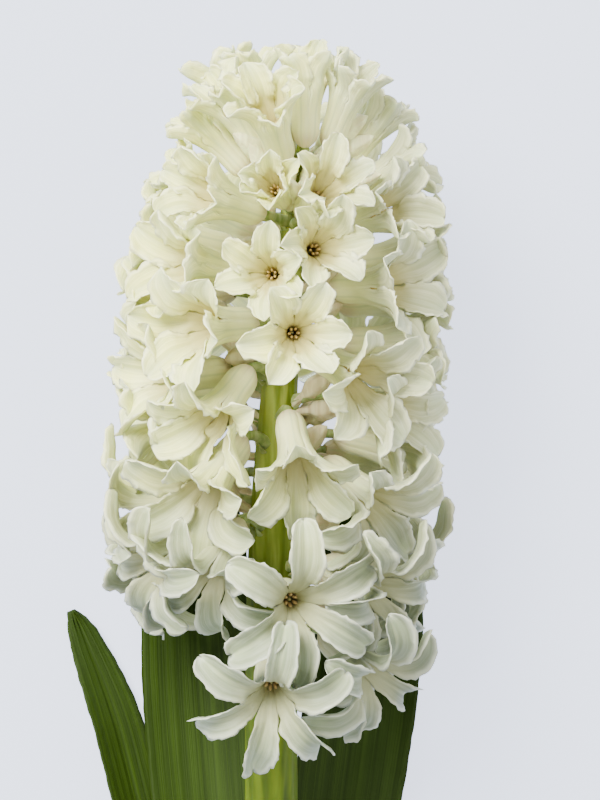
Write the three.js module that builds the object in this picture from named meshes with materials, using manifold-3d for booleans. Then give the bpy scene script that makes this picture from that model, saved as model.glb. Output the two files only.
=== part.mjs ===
// A cut white hyacinth, lying on its leaves: a juicy stem that ends below in a slice of the bulb's root plate,
// three channelled leaves that clasp it there, and a dense head of florets, each a six-lobed trumpet on a short stalk.
//
// Lengths are in millimetres. The plant's own frame has X across, Y along the stem from the cut to the tip and Z to
// the front. The whole plant is then tipped and lifted, so that it lies on the plane Z = 0 of the part's frame.
import * as THREE from "three";
import Module from "manifold-3d";

const wasm = await Module();
wasm.setup();

const { degToRad, lerp, clamp, smoothstep } = THREE.MathUtils;

const CLEARANCE = 0.3; // left between neighbouring pieces

// How the plant lies
const LYING_TILT = degToRad(7.5); // the head is fatter than the cut end, so the stem slopes up to it
const CUT_HEIGHT = 12.3; // of the stem's axis above the table, at the cut
const TABLE_CENTRE = { x: -2.52, y: 112.08 }; // the plant-frame point that stands over the part's origin

// The stem and the slice of root plate that it grows from
const STEM = { length: 209, sides: 10, footRadius: 6, neckRadius: 5.6, neckAt: 100, tipRadius: 2.2 };
const STEM_LEAN = { across: 6.4, from: 110, to: 230 }; // the head leans a little to one side
const PLATE = { radius: 11.8, rimRadius: 10.4, thickness: 3.6, rim: 1.3 };

// The floret's stalk
const STALK = { length: 8.3, rise: 1.6, radius: 1.1, footRadius: 1.5, root: 1.6, sides: 4, steps: 2 };

// One floret at size 1: its tube, from the stalk to the mouth, and its six lobes
const TUBE_LENGTH = 15;
const TUBE = { footRadius: 2, ovaryRadius: 3.5, ovaryAt: 0.27, mouthRadius: 4.5, wall: 0.9 };
const THROAT = { radius: 2.2, floorAt: 0.42, pistilAt: 0.6 };
const LOBE = { length: 12.5, count: 6, widestAt: 0.48, thickness: 1.2, cup: 0.22 };
const LOBE_ROWS = [0.38, 0.74, 1]; // shares of the lobe's length, the last of them its tip
const SHUT = { halfWidth: 4.5, flare: degToRad(9), curl: degToRad(20) }; // the lobe's form at openness 0
const OPEN = { halfWidth: 3.6, flare: degToRad(40), curl: degToRad(132) }; // and at openness 1
const CURL_ONSET = 1.3; // above 1, a lobe curls more towards its tip
const CURVE_STEPS = 12;

// Each line places one floret of the front half: its height on the stem, its azimuth round the stem from the front
// towards +X, its pitch above the level, its turn to the side and its roll, in degrees, then its size and openness.
const FRONT_FLORETS = [
  [92, 1, -26, 0, 20, 1.1, 1],
  [98, 52, -34, 0, 44, 1.08, 1],
  [107, 8, -10, 4, 30, 1.12, 0.95],
  [113, 53, -20, 0, 10, 1.08, 1],
  [122, -30, -44, -6, 24, 1.08, 0.95],
  [120, -60, -24, 0, 50, 1.08, 0.95],
  [127, -90, -8, 0, 32, 1.14, 0.8],
  [135, 54, -34, 0, 22, 1.08, 0.7],
  [140, -33, -38, -6, 14, 1.1, 0.5],
  [145.5, 11, -46, 0, 36, 1, 0.4],
  [141, 90, -14, 0, 5, 1.04, 0.6],
  [146, -90, -14, 0, 41, 1.02, 0.5],
  [155, -33, -38, 0, 17, 1.06, 0.45],
  [155, -64, -6, 0, 52, 1.06, 0.45],
  [149.5, 63, -14, 0, 28, 1.06, 0.5],
  [158.5, 37, -20, 0, 3, 1.04, 0.42],
  [161, 88, 0, 0, 38, 1.04, 0.42],
  [163.5, 5, -4, 2, 4, 0.92, 0.36],
  [165, -31, -2, -12, 46, 1.1, 0.32],
  [167, -88, 2, 0, 12, 1.04, 0.38],
  [176, -52, 6, 0, 30, 1.04, 0.34],
  [173, 56, 0, 0, 35, 1.04, 0.38],
  [175.5, -7, 0, -6, 26, 0.84, 0.34],
  [178, 90, 8, 0, 55, 1.04, 0.4],
  [180, 13, 4, 4, 8, 0.9, 0.36],
  [181, -86, 12, 0, 21, 1.02, 0.36],
  [186, 53, 14, 0, 47, 1.02, 0.34],
  [189, -35, 12, -10, 33, 1.06, 0.28],
  [188.5, 12, 20, 6, 15, 0.94, 0.34],
  [191.5, -12, 14, 0, 40, 0.76, 0.1],
  [193, 86, 26, 0, 6, 0.96, 0.36],
  [190, -82, 30, 0, 29, 0.96, 0.36],
  [200, -15, 40, 0, 57, 0.98, 0.26],
  [203.5, 42, 60, 0, 19, 0.86, 0.3],
  [198, -78, 46, 0, 43, 0.88, 0.32],
  [199, 82, 54, 0, 31, 0.84, 0.3],
  [203.5, 10, 74, 0, 2, 0.9, 0.14],
  [202, -52, 52, 0, 25, 0.86, 0.3],
  [205, -70, 84, 0, 49, 0.82, 0.12],
];

// The rest of the head follows the stem's spiral, and keeps to its back
const BACK = { count: 42, from: 102, to: 205, goldenAngle: 137.508, frontAzimuth: 104, size: 1.08 };
const BACK_LEAF_GAP = { below: 134, azimuth: 154 }; // nothing grows straight down onto the leaves

// Growing crowded, the florets push each other aside. Each is stood for by balls, and these are their radii
const BALLS = { foot: 2.6, waist: 3.6, mouth: 5, middle: 2.7, tip: 2 };
const SETTLING = { passes: 90, firstHold: 0.3, lastHold: 0.05, push: 0.6, lobeShare: 0.12 };
const MOUTH_HOLD = { front: 0.4, back: 0.1 }; // the front florets keep their places better
const ROOM = { reach: 46, stemGap: 1, floorLobe: 0.75, leafTop: 5.5, leafEnd: 138, leafSide: 33 };

// The leaves. Each line of a leaf is a station on its midrib: X, Y, the height above the table, the roll in degrees,
// half of the blade's width and the radius that the blade bends round. At its foot a leaf bends round the stem itself,
// so that its X and its height follow from the rest.
const LEAF = { columns: 5, steps: 11, midThickness: 2, edgeThickness: 0.9 };
const LEAVES = {
  leaf_right: [
    [null, 0.3, null, 62, 8.6, 8.4],
    [11.5, 26, 3.4, 30, 11.2, 13],
    [16.8, 58, 1.1, 4, 13, 19],
    [21.4, 96, 1.05, 0, 13.2, 26],
    [22.6, 122, 1.05, 0, 9.8, 30],
    [22, 134, 1.6, 0, 4.6, 30],
    [22, 137.5, 2.3, 0, 1.2, 30],
  ],
  leaf_left: [
    [null, 0.3, null, -62, 8.6, 8.4],
    [-10.2, 26, 3.4, -28, 11.8, 14],
    [-13.6, 58, 1.1, -2, 13.6, 26],
    [-16.4, 96, 1.05, 0, 13.4, 30],
    [-17, 124, 1.05, 0, 10, 32],
    [-17, 138, 1.5, 0, 4.8, 32],
    [-17, 142, 2.2, 0, 1.2, 32],
  ],
  leaf_small: [
    [null, 0.3, null, -105, 6, 11.6],
    [-19.6, 24, 6.5, -60, 6.8, 14],
    [-28.4, 52, 6.4, -40, 7.2, 16],
    [-35.3, 78, 4.6, -30, 6.6, 16],
    [-42.2, 96, 3.6, -24, 4, 16],
    [-45.2, 102.6, 4, -24, 1, 16],
  ],
};

const FLORET_FINISH = { color: 0xe9ead2, roughness: 0.55, metalness: 0 };
const STEM_FINISH = { color: 0x8a9c3a, roughness: 0.5, metalness: 0 };
const LEAF_FINISH = { color: 0x3c5418, roughness: 0.45, metalness: 0 };

// A closed surface that is put together from shared points
class Skin {
  indexOf = new Map();
  points = [];
  triangles = [];

  triangle(...corners) {
    for (const corner of corners) {
      if (!this.indexOf.has(corner)) {
        this.indexOf.set(corner, this.indexOf.size);
        this.points.push(corner.x, corner.y, corner.z);
      }
      this.triangles.push(this.indexOf.get(corner));
    }
  }

  quad(a, b, c, d) {
    this.triangle(a, b, c);
    this.triangle(a, c, d);
  }

  solid() {
    return new wasm.Manifold(
      new wasm.Mesh({
        numProp: 3,
        vertProperties: new Float32Array(this.points),
        triVerts: new Uint32Array(this.triangles),
      }),
    );
  }
}

// A solid through rings of points that all have the same even number, and run anticlockwise seen from the last ring.
// The rings' first half is one face of a blade and their second half the other, and both are split alike.
function loft(rings) {
  const skin = new Skin();
  const count = rings[0].length;
  for (let r = 0; r + 1 < rings.length; r++) {
    for (let i = 0; i < count; i++) {
      const next = (i + 1) % count;
      const [a, b, c, d] = [rings[r][i], rings[r][next], rings[r + 1][next], rings[r + 1][i]];
      if (i < count / 2) skin.quad(a, b, c, d);
      else skin.quad(b, c, d, a);
    }
  }
  const [first, last] = [rings[0], rings[rings.length - 1]];
  for (let i = 0; i + 1 < count / 2; i++) {
    const far = count - 1 - i;
    skin.quad(first[i], first[far], first[far - 1], first[i + 1]);
    skin.quad(last[i], last[i + 1], last[far - 1], last[far]);
  }
  return skin.solid();
}

function geometryOf(solid) {
  const mesh = solid.getMesh();
  return new THREE.BufferGeometry()
    .setAttribute("position", new THREE.BufferAttribute(mesh.vertProperties, 3))
    .setIndex(new THREE.BufferAttribute(mesh.triVerts, 1));
}

// Cutting a crowded petal can leave loose scraps beside it
function largestBody(solid) {
  return solid.decompose().reduce((best, body) => (body.volume() > best.volume() ? body : best));
}

// The same draws on every run, from 0 to 1
function seededDraws(seed) {
  let state = seed;
  return () => {
    state = (state * 16807) % 2147483647;
    return state / 2147483647;
  };
}

// Where the table is, in the plant's frame, below the stem at this height along it
function tableDepth(along) {
  return -(CUT_HEIGHT + along * Math.sin(LYING_TILT)) / Math.cos(LYING_TILT);
}

function heightOverTable(point) {
  return (point.z - tableDepth(point.y)) * Math.cos(LYING_TILT);
}

function stemAxis(along) {
  return new THREE.Vector3(STEM_LEAN.across * smoothstep(along, STEM_LEAN.from, STEM_LEAN.to), along, 0);
}

function stemRadius(along) {
  if (along < STEM.neckAt) return lerp(STEM.footRadius, STEM.neckRadius, Math.max(0, along) / STEM.neckAt);
  return lerp(STEM.neckRadius, STEM.tipRadius, (along - STEM.neckAt) / (STEM.length - STEM.neckAt));
}

// Out from the stem at this azimuth, which is counted from the front towards +X
function outward(azimuth) {
  return new THREE.Vector3(Math.sin(azimuth), 0, Math.cos(azimuth));
}

// One floret as it would grow with nothing near it
function freeFloret([height, azimuthDegrees, ...rest], mouthHold, draw) {
  const [pitchDegrees, turnDegrees, rollDegrees, size, openness] = rest;
  const azimuth = degToRad(azimuthDegrees);
  const pitch = degToRad(pitchDegrees);
  const aim = outward(azimuth + degToRad(turnDegrees)).multiplyScalar(Math.cos(pitch));
  aim.y = Math.sin(pitch);
  const start = stemAxis(height).addScaledVector(outward(azimuth), stemRadius(height) - STALK.root);
  const reach = stemRadius(height) + STALK.length * Math.sqrt(size);
  const foot = stemAxis(height + STALK.rise).addScaledVector(outward(azimuth), reach);
  const side = new THREE.Vector3(Math.cos(azimuth), 0, -Math.sin(azimuth));
  const tubeLength = TUBE_LENGTH * size;
  const lobes = Array.from({ length: LOBE.count }, (_, k) => {
    const open = clamp(openness + 0.22 * (draw() - 0.5), 0, 1.1);
    return {
      angle: degToRad(rollDegrees) + (2 * Math.PI * k) / LOBE.count + 0.14 * (draw() - 0.5),
      length: LOBE.length * size * (0.94 + 0.12 * draw()),
      halfWidth: lerp(SHUT.halfWidth, OPEN.halfWidth, open) * size,
      flare: lerp(SHUT.flare, OPEN.flare, open),
      curl: lerp(SHUT.curl, OPEN.curl, open),
    };
  });
  const floret = { height, azimuth, size, aim, side, start, foot, tubeLength, lobes, mouthHold };
  floret.mouth = foot.clone().addScaledVector(aim, tubeLength);
  const frame = floretFrame(floret);
  for (const lobe of lobes) {
    lobe.middle = restPoint(floret, frame, lobe, 0.5);
    lobe.tip = restPoint(floret, frame, lobe, 1);
  }
  return floret;
}

// The directions of a floret: along its tube, and the two across it from which the lobes' angles are counted
function floretFrame(floret) {
  const along = floret.mouth.clone().sub(floret.foot).normalize();
  const across = floret.side.clone().addScaledVector(along, -floret.side.dot(along)).normalize();
  return { along, across, up: along.clone().cross(across) };
}

function lobeOutward(frame, angle) {
  return frame.across.clone().multiplyScalar(Math.cos(angle)).addScaledVector(frame.up, Math.sin(angle));
}

// How far a lobe's midline has gone out from the tube's axis and along it, at this share of its length
function lobeCurve(floret, lobe, share) {
  let out = TUBE.mouthRadius * floret.size;
  let along = floret.tubeLength;
  const step = (lobe.length * share) / CURVE_STEPS;
  for (let i = 0; i < CURVE_STEPS; i++) {
    const bend = lobe.flare + lobe.curl * Math.pow(((i + 0.5) / CURVE_STEPS) * share, CURL_ONSET);
    out += step * Math.sin(bend);
    along += step * Math.cos(bend);
  }
  return { out, along };
}

function restPoint(floret, frame, lobe, share) {
  const { out, along } = lobeCurve(floret, lobe, share);
  return floret.foot
    .clone()
    .addScaledVector(lobeOutward(frame, lobe.angle), out)
    .addScaledVector(frame.along, along);
}

// A point of the settled lobe's midline: the free curve, moved as its middle and its tip were
function settledPoint(floret, frame, lobe, share) {
  const middleShift = lobe.middle.clone().sub(restPoint(floret, frame, lobe, 0.5));
  const tipShift = lobe.tip.clone().sub(restPoint(floret, frame, lobe, 1));
  return restPoint(floret, frame, lobe, share)
    .addScaledVector(middleShift, 4 * share * (1 - share))
    .addScaledVector(tipShift, share * (2 * share - 1));
}

function keepDistance(point, anchor, distance) {
  point.sub(anchor).setLength(distance).add(anchor);
}

// The balls that stand for a floret while it settles
function ballsOf(floret) {
  const ball = (at, radius) => ({ at, radius: radius * floret.size, push: new THREE.Vector3() });
  return [
    ball(floret.foot, BALLS.foot),
    ball(floret.foot.clone().lerp(floret.mouth, 0.5), BALLS.waist),
    ball(floret.mouth, BALLS.mouth),
    ...floret.lobes.map((lobe) => ball(lobe.middle, BALLS.middle)),
    ...floret.lobes.map((lobe) => ball(lobe.tip, BALLS.tip)),
  ];
}

function pushApart(a, b) {
  const between = a.at.clone().sub(b.at);
  const room = a.radius + b.radius;
  const distance = between.length();
  if (distance >= room) return;
  between.multiplyScalar((room - distance) / (2 * distance));
  a.push.add(between);
  b.push.sub(between);
}

function pushFloretsApart(ballsA, ballsB) {
  for (const a of ballsA) {
    for (const b of ballsB) pushApart(a, b);
  }
}

// The lobes of one floret stay clear of each other too
function pushLobesApart([, , , ...lobeBalls]) {
  lobeBalls.forEach((a, i) => {
    lobeBalls.slice(i + 1).forEach((b, j) => {
      const sameLobe = (j + 1) % LOBE.count === 0;
      if (!sameLobe) pushApart(a, b);
    });
  });
}

// The stem pushes a ball outwards, and the table and the leaves on it push it up
function pushFromPlant(ball, floorRoom) {
  const fromStem = ball.at.clone().sub(stemAxis(ball.at.y)).setY(0);
  const stemRoom = stemRadius(ball.at.y) + ball.radius + ROOM.stemGap;
  const stemDistance = fromStem.length();
  if (ball.at.y < STEM.length && stemDistance < stemRoom) {
    ball.push.addScaledVector(fromStem, (stemRoom - stemDistance) / stemDistance);
  }
  const overLeaf = ball.at.y < ROOM.leafEnd && Math.abs(ball.at.x) < ROOM.leafSide;
  const sinking = floorRoom + (overLeaf ? ROOM.leafTop : 0) - heightOverTable(ball.at);
  if (sinking > 0) ball.push.z += sinking;
}

// The florets push each other, and are pushed by the stem and the table, until they have room
function settle(florets) {
  for (let pass = 0; pass < SETTLING.passes; pass++) {
    const hold = lerp(SETTLING.firstHold, SETTLING.lastHold, pass / (SETTLING.passes - 1));
    const crowd = florets.map(ballsOf);
    for (let i = 0; i < florets.length; i++) {
      for (let j = i + 1; j < florets.length; j++) {
        if (florets[i].mouth.distanceTo(florets[j].mouth) < ROOM.reach) pushFloretsApart(crowd[i], crowd[j]);
      }
      pushLobesApart(crowd[i]);
    }
    florets.forEach((floret, i) => {
      const [, waist, mouth, ...lobeBalls] = crowd[i];
      pushFromPlant(waist, waist.radius);
      pushFromPlant(mouth, mouth.radius);
      for (const ball of lobeBalls) pushFromPlant(ball, ROOM.floorLobe);
      moveMouth(floret, waist, mouth, lobeBalls);
      moveLobes(floret, hold, lobeBalls);
    });
  }
}

function moveMouth(floret, waist, mouth, lobeBalls) {
  const freeMouth = floret.foot.clone().addScaledVector(floret.aim, floret.tubeLength);
  floret.mouth.lerp(freeMouth, floret.mouthHold);
  floret.mouth.addScaledVector(mouth.push, SETTLING.push).addScaledVector(waist.push, SETTLING.push);
  for (const ball of lobeBalls) floret.mouth.addScaledVector(ball.push, SETTLING.lobeShare);
  keepDistance(floret.mouth, floret.foot, floret.tubeLength);
}

function moveLobes(floret, hold, lobeBalls) {
  const frame = floretFrame(floret);
  floret.lobes.forEach((lobe, k) => {
    const root = restPoint(floret, frame, lobe, 0);
    const freeMiddle = restPoint(floret, frame, lobe, 0.5);
    const freeTip = restPoint(floret, frame, lobe, 1);
    lobe.middle.lerp(freeMiddle, hold).addScaledVector(lobeBalls[k].push, SETTLING.push);
    lobe.tip.lerp(freeTip, hold).addScaledVector(lobeBalls[k + LOBE.count].push, SETTLING.push);
    keepDistance(lobe.middle, root, root.distanceTo(freeMiddle));
    keepDistance(lobe.tip, lobe.middle, freeMiddle.distanceTo(freeTip));
  });
}

// All florets of the head: the front ones as listed, then the back ones along the spiral
function growHead() {
  const draw = seededDraws(20811);
  const florets = FRONT_FLORETS.map((line) => freeFloret(line, MOUTH_HOLD.front, draw));
  for (let n = 0; n < BACK.count; n++) {
    const share = n / (BACK.count - 1);
    const height = lerp(BACK.from, BACK.to, share);
    const azimuth = ((n * BACK.goldenAngle + 180) % 360) - 180;
    const onLeaf = height < BACK_LEAF_GAP.below && Math.abs(azimuth) > BACK_LEAF_GAP.azimuth;
    if (Math.abs(azimuth) < BACK.frontAzimuth || onLeaf) continue;
    const pitch = lerp(-24, 8, smoothstep(share, 0, 0.75)) + 48 * smoothstep(share, 0.72, 1);
    const size = BACK.size * lerp(1, 0.84, smoothstep(share, 0.7, 1));
    const openness = lerp(0.95, 0.4, share);
    const roll = draw() * (360 / LOBE.count);
    florets.push(freeFloret([height, azimuth, pitch, 0, roll, size, openness], MOUTH_HOLD.back, draw));
  }
  settle(florets);
  return florets;
}

// Half of a lobe's width at this share of its length, as a share of the widest
function lobeWidth(share, rootWidth) {
  if (share < LOBE.widestAt) return lerp(rootWidth, 1, smoothstep(share / LOBE.widestAt, 0, 1));
  return Math.sqrt(1 - Math.pow((share - LOBE.widestAt) / (1 - LOBE.widestAt), 2.4));
}

// The azimuths round a floret of its lobes' midlines and, between them, of the seams where two lobes meet
function columnAngles(lobes) {
  return lobes.flatMap((lobe, k) => {
    const turn = k + 1 === lobes.length ? 2 * Math.PI : 0;
    return [lobe.angle, (lobe.angle + lobes[(k + 1) % lobes.length].angle + turn) / 2];
  });
}

// The floret's solid. grow makes it stand that much proud all over, which is the room that its neighbours leave it.
function floretSolid(floret, grow = 0) {
  const { size, tubeLength, foot } = floret;
  const frame = floretFrame(floret);
  const angles = columnAngles(floret.lobes);
  const at = (radius, along, angle = 0) =>
    foot.clone().addScaledVector(lobeOutward(frame, angle), radius).addScaledVector(frame.along, along);
  const ring = (radius, along) => angles.map((angle) => at(radius, along, angle));
  const lobeRing = (radius, along) => floret.lobes.map((lobe) => at(radius, along, lobe.angle));
  const rings = {
    bottom: lobeRing(TUBE.footRadius * size + grow, -grow),
    ovary: lobeRing(TUBE.ovaryRadius * size + grow, TUBE.ovaryAt * tubeLength),
    lip: ring((TUBE.mouthRadius + TUBE.wall / 2) * size + grow, tubeLength),
    rim: ring((TUBE.mouthRadius - TUBE.wall / 2) * size - grow, tubeLength),
    throat: lobeRing(Math.max(THROAT.radius * size - grow, 1), THROAT.floorAt * tubeLength),
    pistil: at(0, THROAT.pistilAt * tubeLength + grow),
  };
  const lobes = floret.lobes.map((lobe, k) => lobeSolid(floret, frame, lobe, grow, rings, k));
  return wasm.Manifold.union([tubeSolid(rings), ...lobes]);
}

// The tube, in sixths from one lobe's midline to the next: its foot, its outside, its mouth and its inside
function tubeSolid({ bottom, ovary, lip, rim, throat, pistil }) {
  const skin = new Skin();
  for (let k = 0; k < LOBE.count; k++) {
    const next = (k + 1) % LOBE.count;
    const [here, seam, there] = [2 * k, 2 * k + 1, 2 * next];
    if (k > 0 && k + 1 < LOBE.count) skin.triangle(bottom[0], bottom[k + 1], bottom[k]);
    skin.quad(bottom[k], bottom[next], ovary[next], ovary[k]);
    skin.triangle(ovary[k], lip[seam], lip[here]);
    skin.triangle(ovary[k], ovary[next], lip[seam]);
    skin.triangle(ovary[next], lip[there], lip[seam]);
    skin.quad(lip[here], lip[seam], rim[seam], rim[here]);
    skin.quad(lip[seam], lip[there], rim[there], rim[seam]);
    skin.triangle(throat[k], rim[here], rim[seam]);
    skin.triangle(throat[k], rim[seam], throat[next]);
    skin.triangle(throat[next], rim[seam], rim[there]);
    skin.triangle(throat[k], throat[next], pistil);
  }
  return skin.solid();
}

// One lobe, from its part of the mouth to its tip. It is thick along its midline and thin at its edges.
function lobeSolid(floret, frame, lobe, grow, { lip, rim }, k) {
  const skin = new Skin();
  const rootWidth = (TUBE.mouthRadius * floret.size * Math.sin(Math.PI / LOBE.count)) / lobe.halfWidth;
  const sideways = lobeOutward(frame, lobe.angle + Math.PI / 2);
  const columns = [(2 * k - 1 + lip.length) % lip.length, 2 * k, 2 * k + 1];
  let [leftBack, middleBack, rightBack] = columns.map((column) => lip[column]);
  let [leftFront, middleFront, rightFront] = columns.map((column) => rim[column]);
  skin.quad(middleFront, middleBack, leftBack, leftFront);
  skin.quad(rightFront, rightBack, middleBack, middleFront);
  for (const share of LOBE_ROWS) {
    const centre = settledPoint(floret, frame, lobe, share);
    const heading = centre.clone().sub(settledPoint(floret, frame, lobe, share - 0.06)).normalize();
    if (share === 1) {
      const tip = centre.addScaledVector(heading, grow);
      skin.triangle(leftBack, middleBack, tip);
      skin.triangle(middleBack, rightBack, tip);
      skin.triangle(leftFront, tip, middleFront);
      skin.triangle(middleFront, tip, rightFront);
      return skin.solid();
    }
    const across = sideways.clone().addScaledVector(heading, -sideways.dot(heading)).normalize();
    const front = heading.clone().cross(across);
    const widest = lobe.halfWidth * lobeWidth(share, rootWidth);
    const half = Math.min(widest, neighbourRoom(floret, lobe, share)) + grow;
    const thick = (LOBE.thickness * floret.size) / 2 + grow;
    const at = (aside, raised) => centre.clone().addScaledVector(across, aside).addScaledVector(front, raised);
    const [left, right] = [at(-half, LOBE.cup * half), at(half, LOBE.cup * half)];
    const [back, face] = [at(0, -thick), at(0, thick)];
    skin.quad(leftBack, middleBack, back, left);
    skin.quad(middleBack, rightBack, right, back);
    skin.quad(leftFront, left, face, middleFront);
    skin.quad(middleFront, face, right, rightFront);
    if (leftBack !== leftFront) {
      skin.triangle(leftBack, left, leftFront);
      skin.triangle(right, rightBack, rightFront);
    }
    [leftBack, middleBack, rightBack] = [left, back, right];
    [leftFront, middleFront, rightFront] = [left, face, right];
  }
}

// A lobe is no wider than its sixth of the way round the floret
function neighbourRoom(floret, lobe, share) {
  return lobeCurve(floret, lobe, share).out * Math.tan(Math.PI / LOBE.count) * 0.9;
}

function circle(centre, along, across, radius, sides) {
  const other = along.clone().cross(across);
  return Array.from({ length: sides }, (_, i) => {
    const angle = (2 * Math.PI * i) / sides;
    return centre
      .clone()
      .addScaledVector(across, radius * Math.cos(angle))
      .addScaledVector(other, radius * Math.sin(angle));
  });
}

// A floret's stalk: it leaves the stem outwards and bends round into the tube's direction
function stalkSolid(floret, grow) {
  const { along } = floretFrame(floret);
  const end = floret.foot.clone().addScaledVector(along, -CLEARANCE);
  const bend = end.clone().addScaledVector(along, -0.5 * STALK.length * Math.sqrt(floret.size));
  const curve = new THREE.QuadraticBezierCurve3(floret.start, bend, end);
  const rings = Array.from({ length: STALK.steps + 1 }, (_, i) => {
    const share = i / STALK.steps;
    const heading = curve.getTangent(share);
    const across = floret.side.clone().addScaledVector(heading, -floret.side.dot(heading)).normalize();
    const radius = lerp(STALK.footRadius, STALK.radius, share) * Math.sqrt(floret.size) + grow;
    return circle(curve.getPoint(share), heading, across, radius, STALK.sides);
  });
  return loft(rings);
}

// The stem with its plate below and all the stalks
function stemSolid(florets, grow = 0) {
  const up = new THREE.Vector3(0, 1, 0);
  const across = new THREE.Vector3(1, 0, 0);
  const ring = (along, radius) => circle(stemAxis(along), up, across, radius + grow, STEM.sides);
  const plate = loft([
    ring(-PLATE.thickness, PLATE.rimRadius),
    ring(-PLATE.thickness + PLATE.rim, PLATE.radius),
    ring(0, PLATE.radius),
  ]);
  const heights = [-1, 60, STEM.neckAt, 125, 150, 175, 194, STEM.length];
  const shaft = loft(heights.map((height) => ring(height, stemRadius(height))));
  const stalks = florets.map((floret) => stalkSolid(floret, grow));
  return wasm.Manifold.union([plate, shaft, ...stalks]);
}

// Smooth values between a leaf's stations
function leafStation(stations, share) {
  const at = share * (stations.length - 1);
  const i = Math.min(Math.floor(at), stations.length - 2);
  const pick = (n) => stations[clamp(n, 0, stations.length - 1)];
  const t = at - i;
  return stations[i].map((_, column) => {
    const [a, b, c, d] = [pick(i - 1), pick(i), pick(i + 1), pick(i + 2)].map((station) => station[column]);
    return b + 0.5 * t * (c - a + t * (2 * a - 5 * b + 4 * c - d + t * (3 * (b - c) + d - a)));
  });
}

// A leaf: a blade that is rolled round the stem at its foot and opens to a channel on the table
function leafSolid(lines, grow = 0) {
  const stations = lines.map(([x, y, lift, rollDegrees, half, bend]) => {
    const roll = degToRad(rollDegrees);
    if (x === null) return [bend * Math.sin(roll), y, -bend * Math.cos(roll), roll, half, bend];
    return [x, y, tableDepth(y) + lift, roll, half, bend];
  });
  const midrib = (share) => new THREE.Vector3(...leafStation(stations, share).slice(0, 3));
  const rings = [];
  for (let step = 0; step <= LEAF.steps; step++) {
    const share = step / LEAF.steps;
    const [x, y, z, roll, half, bend] = leafStation(stations, share);
    const heading = midrib(Math.min(share + 0.01, 1)).sub(midrib(Math.max(share - 0.01, 0))).normalize();
    const level = new THREE.Vector3(Math.cos(roll), 0, Math.sin(roll));
    const across = level.addScaledVector(heading, -level.dot(heading)).normalize();
    const face = across.clone().cross(heading);
    const row = (side) =>
      Array.from({ length: LEAF.columns }, (_, c) => {
        const v = (2 * c) / (LEAF.columns - 1) - 1;
        const turn = (v * (half + grow)) / bend;
        const thick = lerp(LEAF.midThickness, LEAF.edgeThickness, v * v) / 2 + grow;
        const radius = bend - side * thick;
        return new THREE.Vector3(x, y, z)
          .addScaledVector(across, radius * Math.sin(turn))
          .addScaledVector(face, bend - radius * Math.cos(turn));
      });
    rings.push([...row(1), ...row(-1).reverse()]);
  }
  return loft(rings);
}

// What lies below the table, which takes a flat spot off whatever would sink into it
function belowTable() {
  const slab = new THREE.BoxGeometry(400, 600, 60);
  slab.translate(0, 0, -30).applyMatrix4(lyingMatrix().invert());
  const corners = new Map();
  const skin = new Skin();
  const position = slab.getAttribute("position");
  const shared = Array.from({ length: position.count }, (_, i) => {
    const corner = new THREE.Vector3().fromBufferAttribute(position, i);
    const key = corner.toArray().map(Math.round).join();
    if (!corners.has(key)) corners.set(key, corner);
    return corners.get(key);
  });
  const index = slab.getIndex();
  for (let i = 0; i < index.count; i += 3) {
    skin.triangle(shared[index.getX(i)], shared[index.getX(i + 1)], shared[index.getX(i + 2)]);
  }
  return skin.solid();
}

// From the plant's frame to the part's frame
function lyingMatrix() {
  return new THREE.Matrix4()
    .makeTranslation(-TABLE_CENTRE.x, -TABLE_CENTRE.y, CUT_HEIGHT)
    .multiply(new THREE.Matrix4().makeRotationX(LYING_TILT));
}

function pieceMesh(name, solid, finish) {
  const mesh = new THREE.Mesh(geometryOf(solid), new THREE.MeshStandardMaterial(finish));
  mesh.name = name;
  return mesh;
}

function buildPlant() {
  const florets = growHead();
  const table = belowTable();
  const plant = new THREE.Group();
  plant.applyMatrix4(lyingMatrix());

  const stem = stemSolid(florets).subtract(table);
  plant.add(pieceMesh("stem", stem, STEM_FINISH));
  let taken = stemSolid(florets, CLEARANCE);

  const foliage = new THREE.Group();
  for (const [name, lines] of Object.entries(LEAVES)) {
    const blade = largestBody(leafSolid(lines).subtract(taken).subtract(table));
    foliage.add(pieceMesh(name, blade, LEAF_FINISH));
    taken = taken.add(leafSolid(lines, CLEARANCE));
  }
  plant.add(foliage);

  // The florets nearest the front keep their whole shape, and the ones behind give way to them
  const head = new THREE.Group();
  const upwards = [...florets].sort((a, b) => a.height - b.height);
  const names = new Map(upwards.map((floret, i) => [floret, "floret_" + String(i + 1).padStart(2, "0")]));
  const frontFirst = [...florets].sort((a, b) => b.mouth.z - a.mouth.z);
  for (const floret of frontFirst) {
    const solid = largestBody(floretSolid(floret).subtract(taken).subtract(table));
    head.add(pieceMesh(names.get(floret), solid, FLORET_FINISH));
    taken = taken.add(floretSolid(floret, CLEARANCE));
  }
  plant.add(head);
  return plant;
}

const hyacinth = new THREE.Group();
hyacinth.add(buildPlant());

export default hyacinth;
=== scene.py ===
"""A cut white hyacinth that lies on a pale table, seen from straight above its stem.

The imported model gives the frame. Its florets, stem and leaves are replaced by fine pieces that grow by the
same rules: the same florets in the same places, pushed apart in the same way, each with six curled petals.
Lengths are in millimetres while the plant grows, and in metres once a piece is a mesh.
"""

from __future__ import annotations

import logging
import math
from collections.abc import Iterator
from dataclasses import dataclass, replace
from enum import Enum

import bpy
import numpy as np
from mathutils import Matrix, Vector


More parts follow.
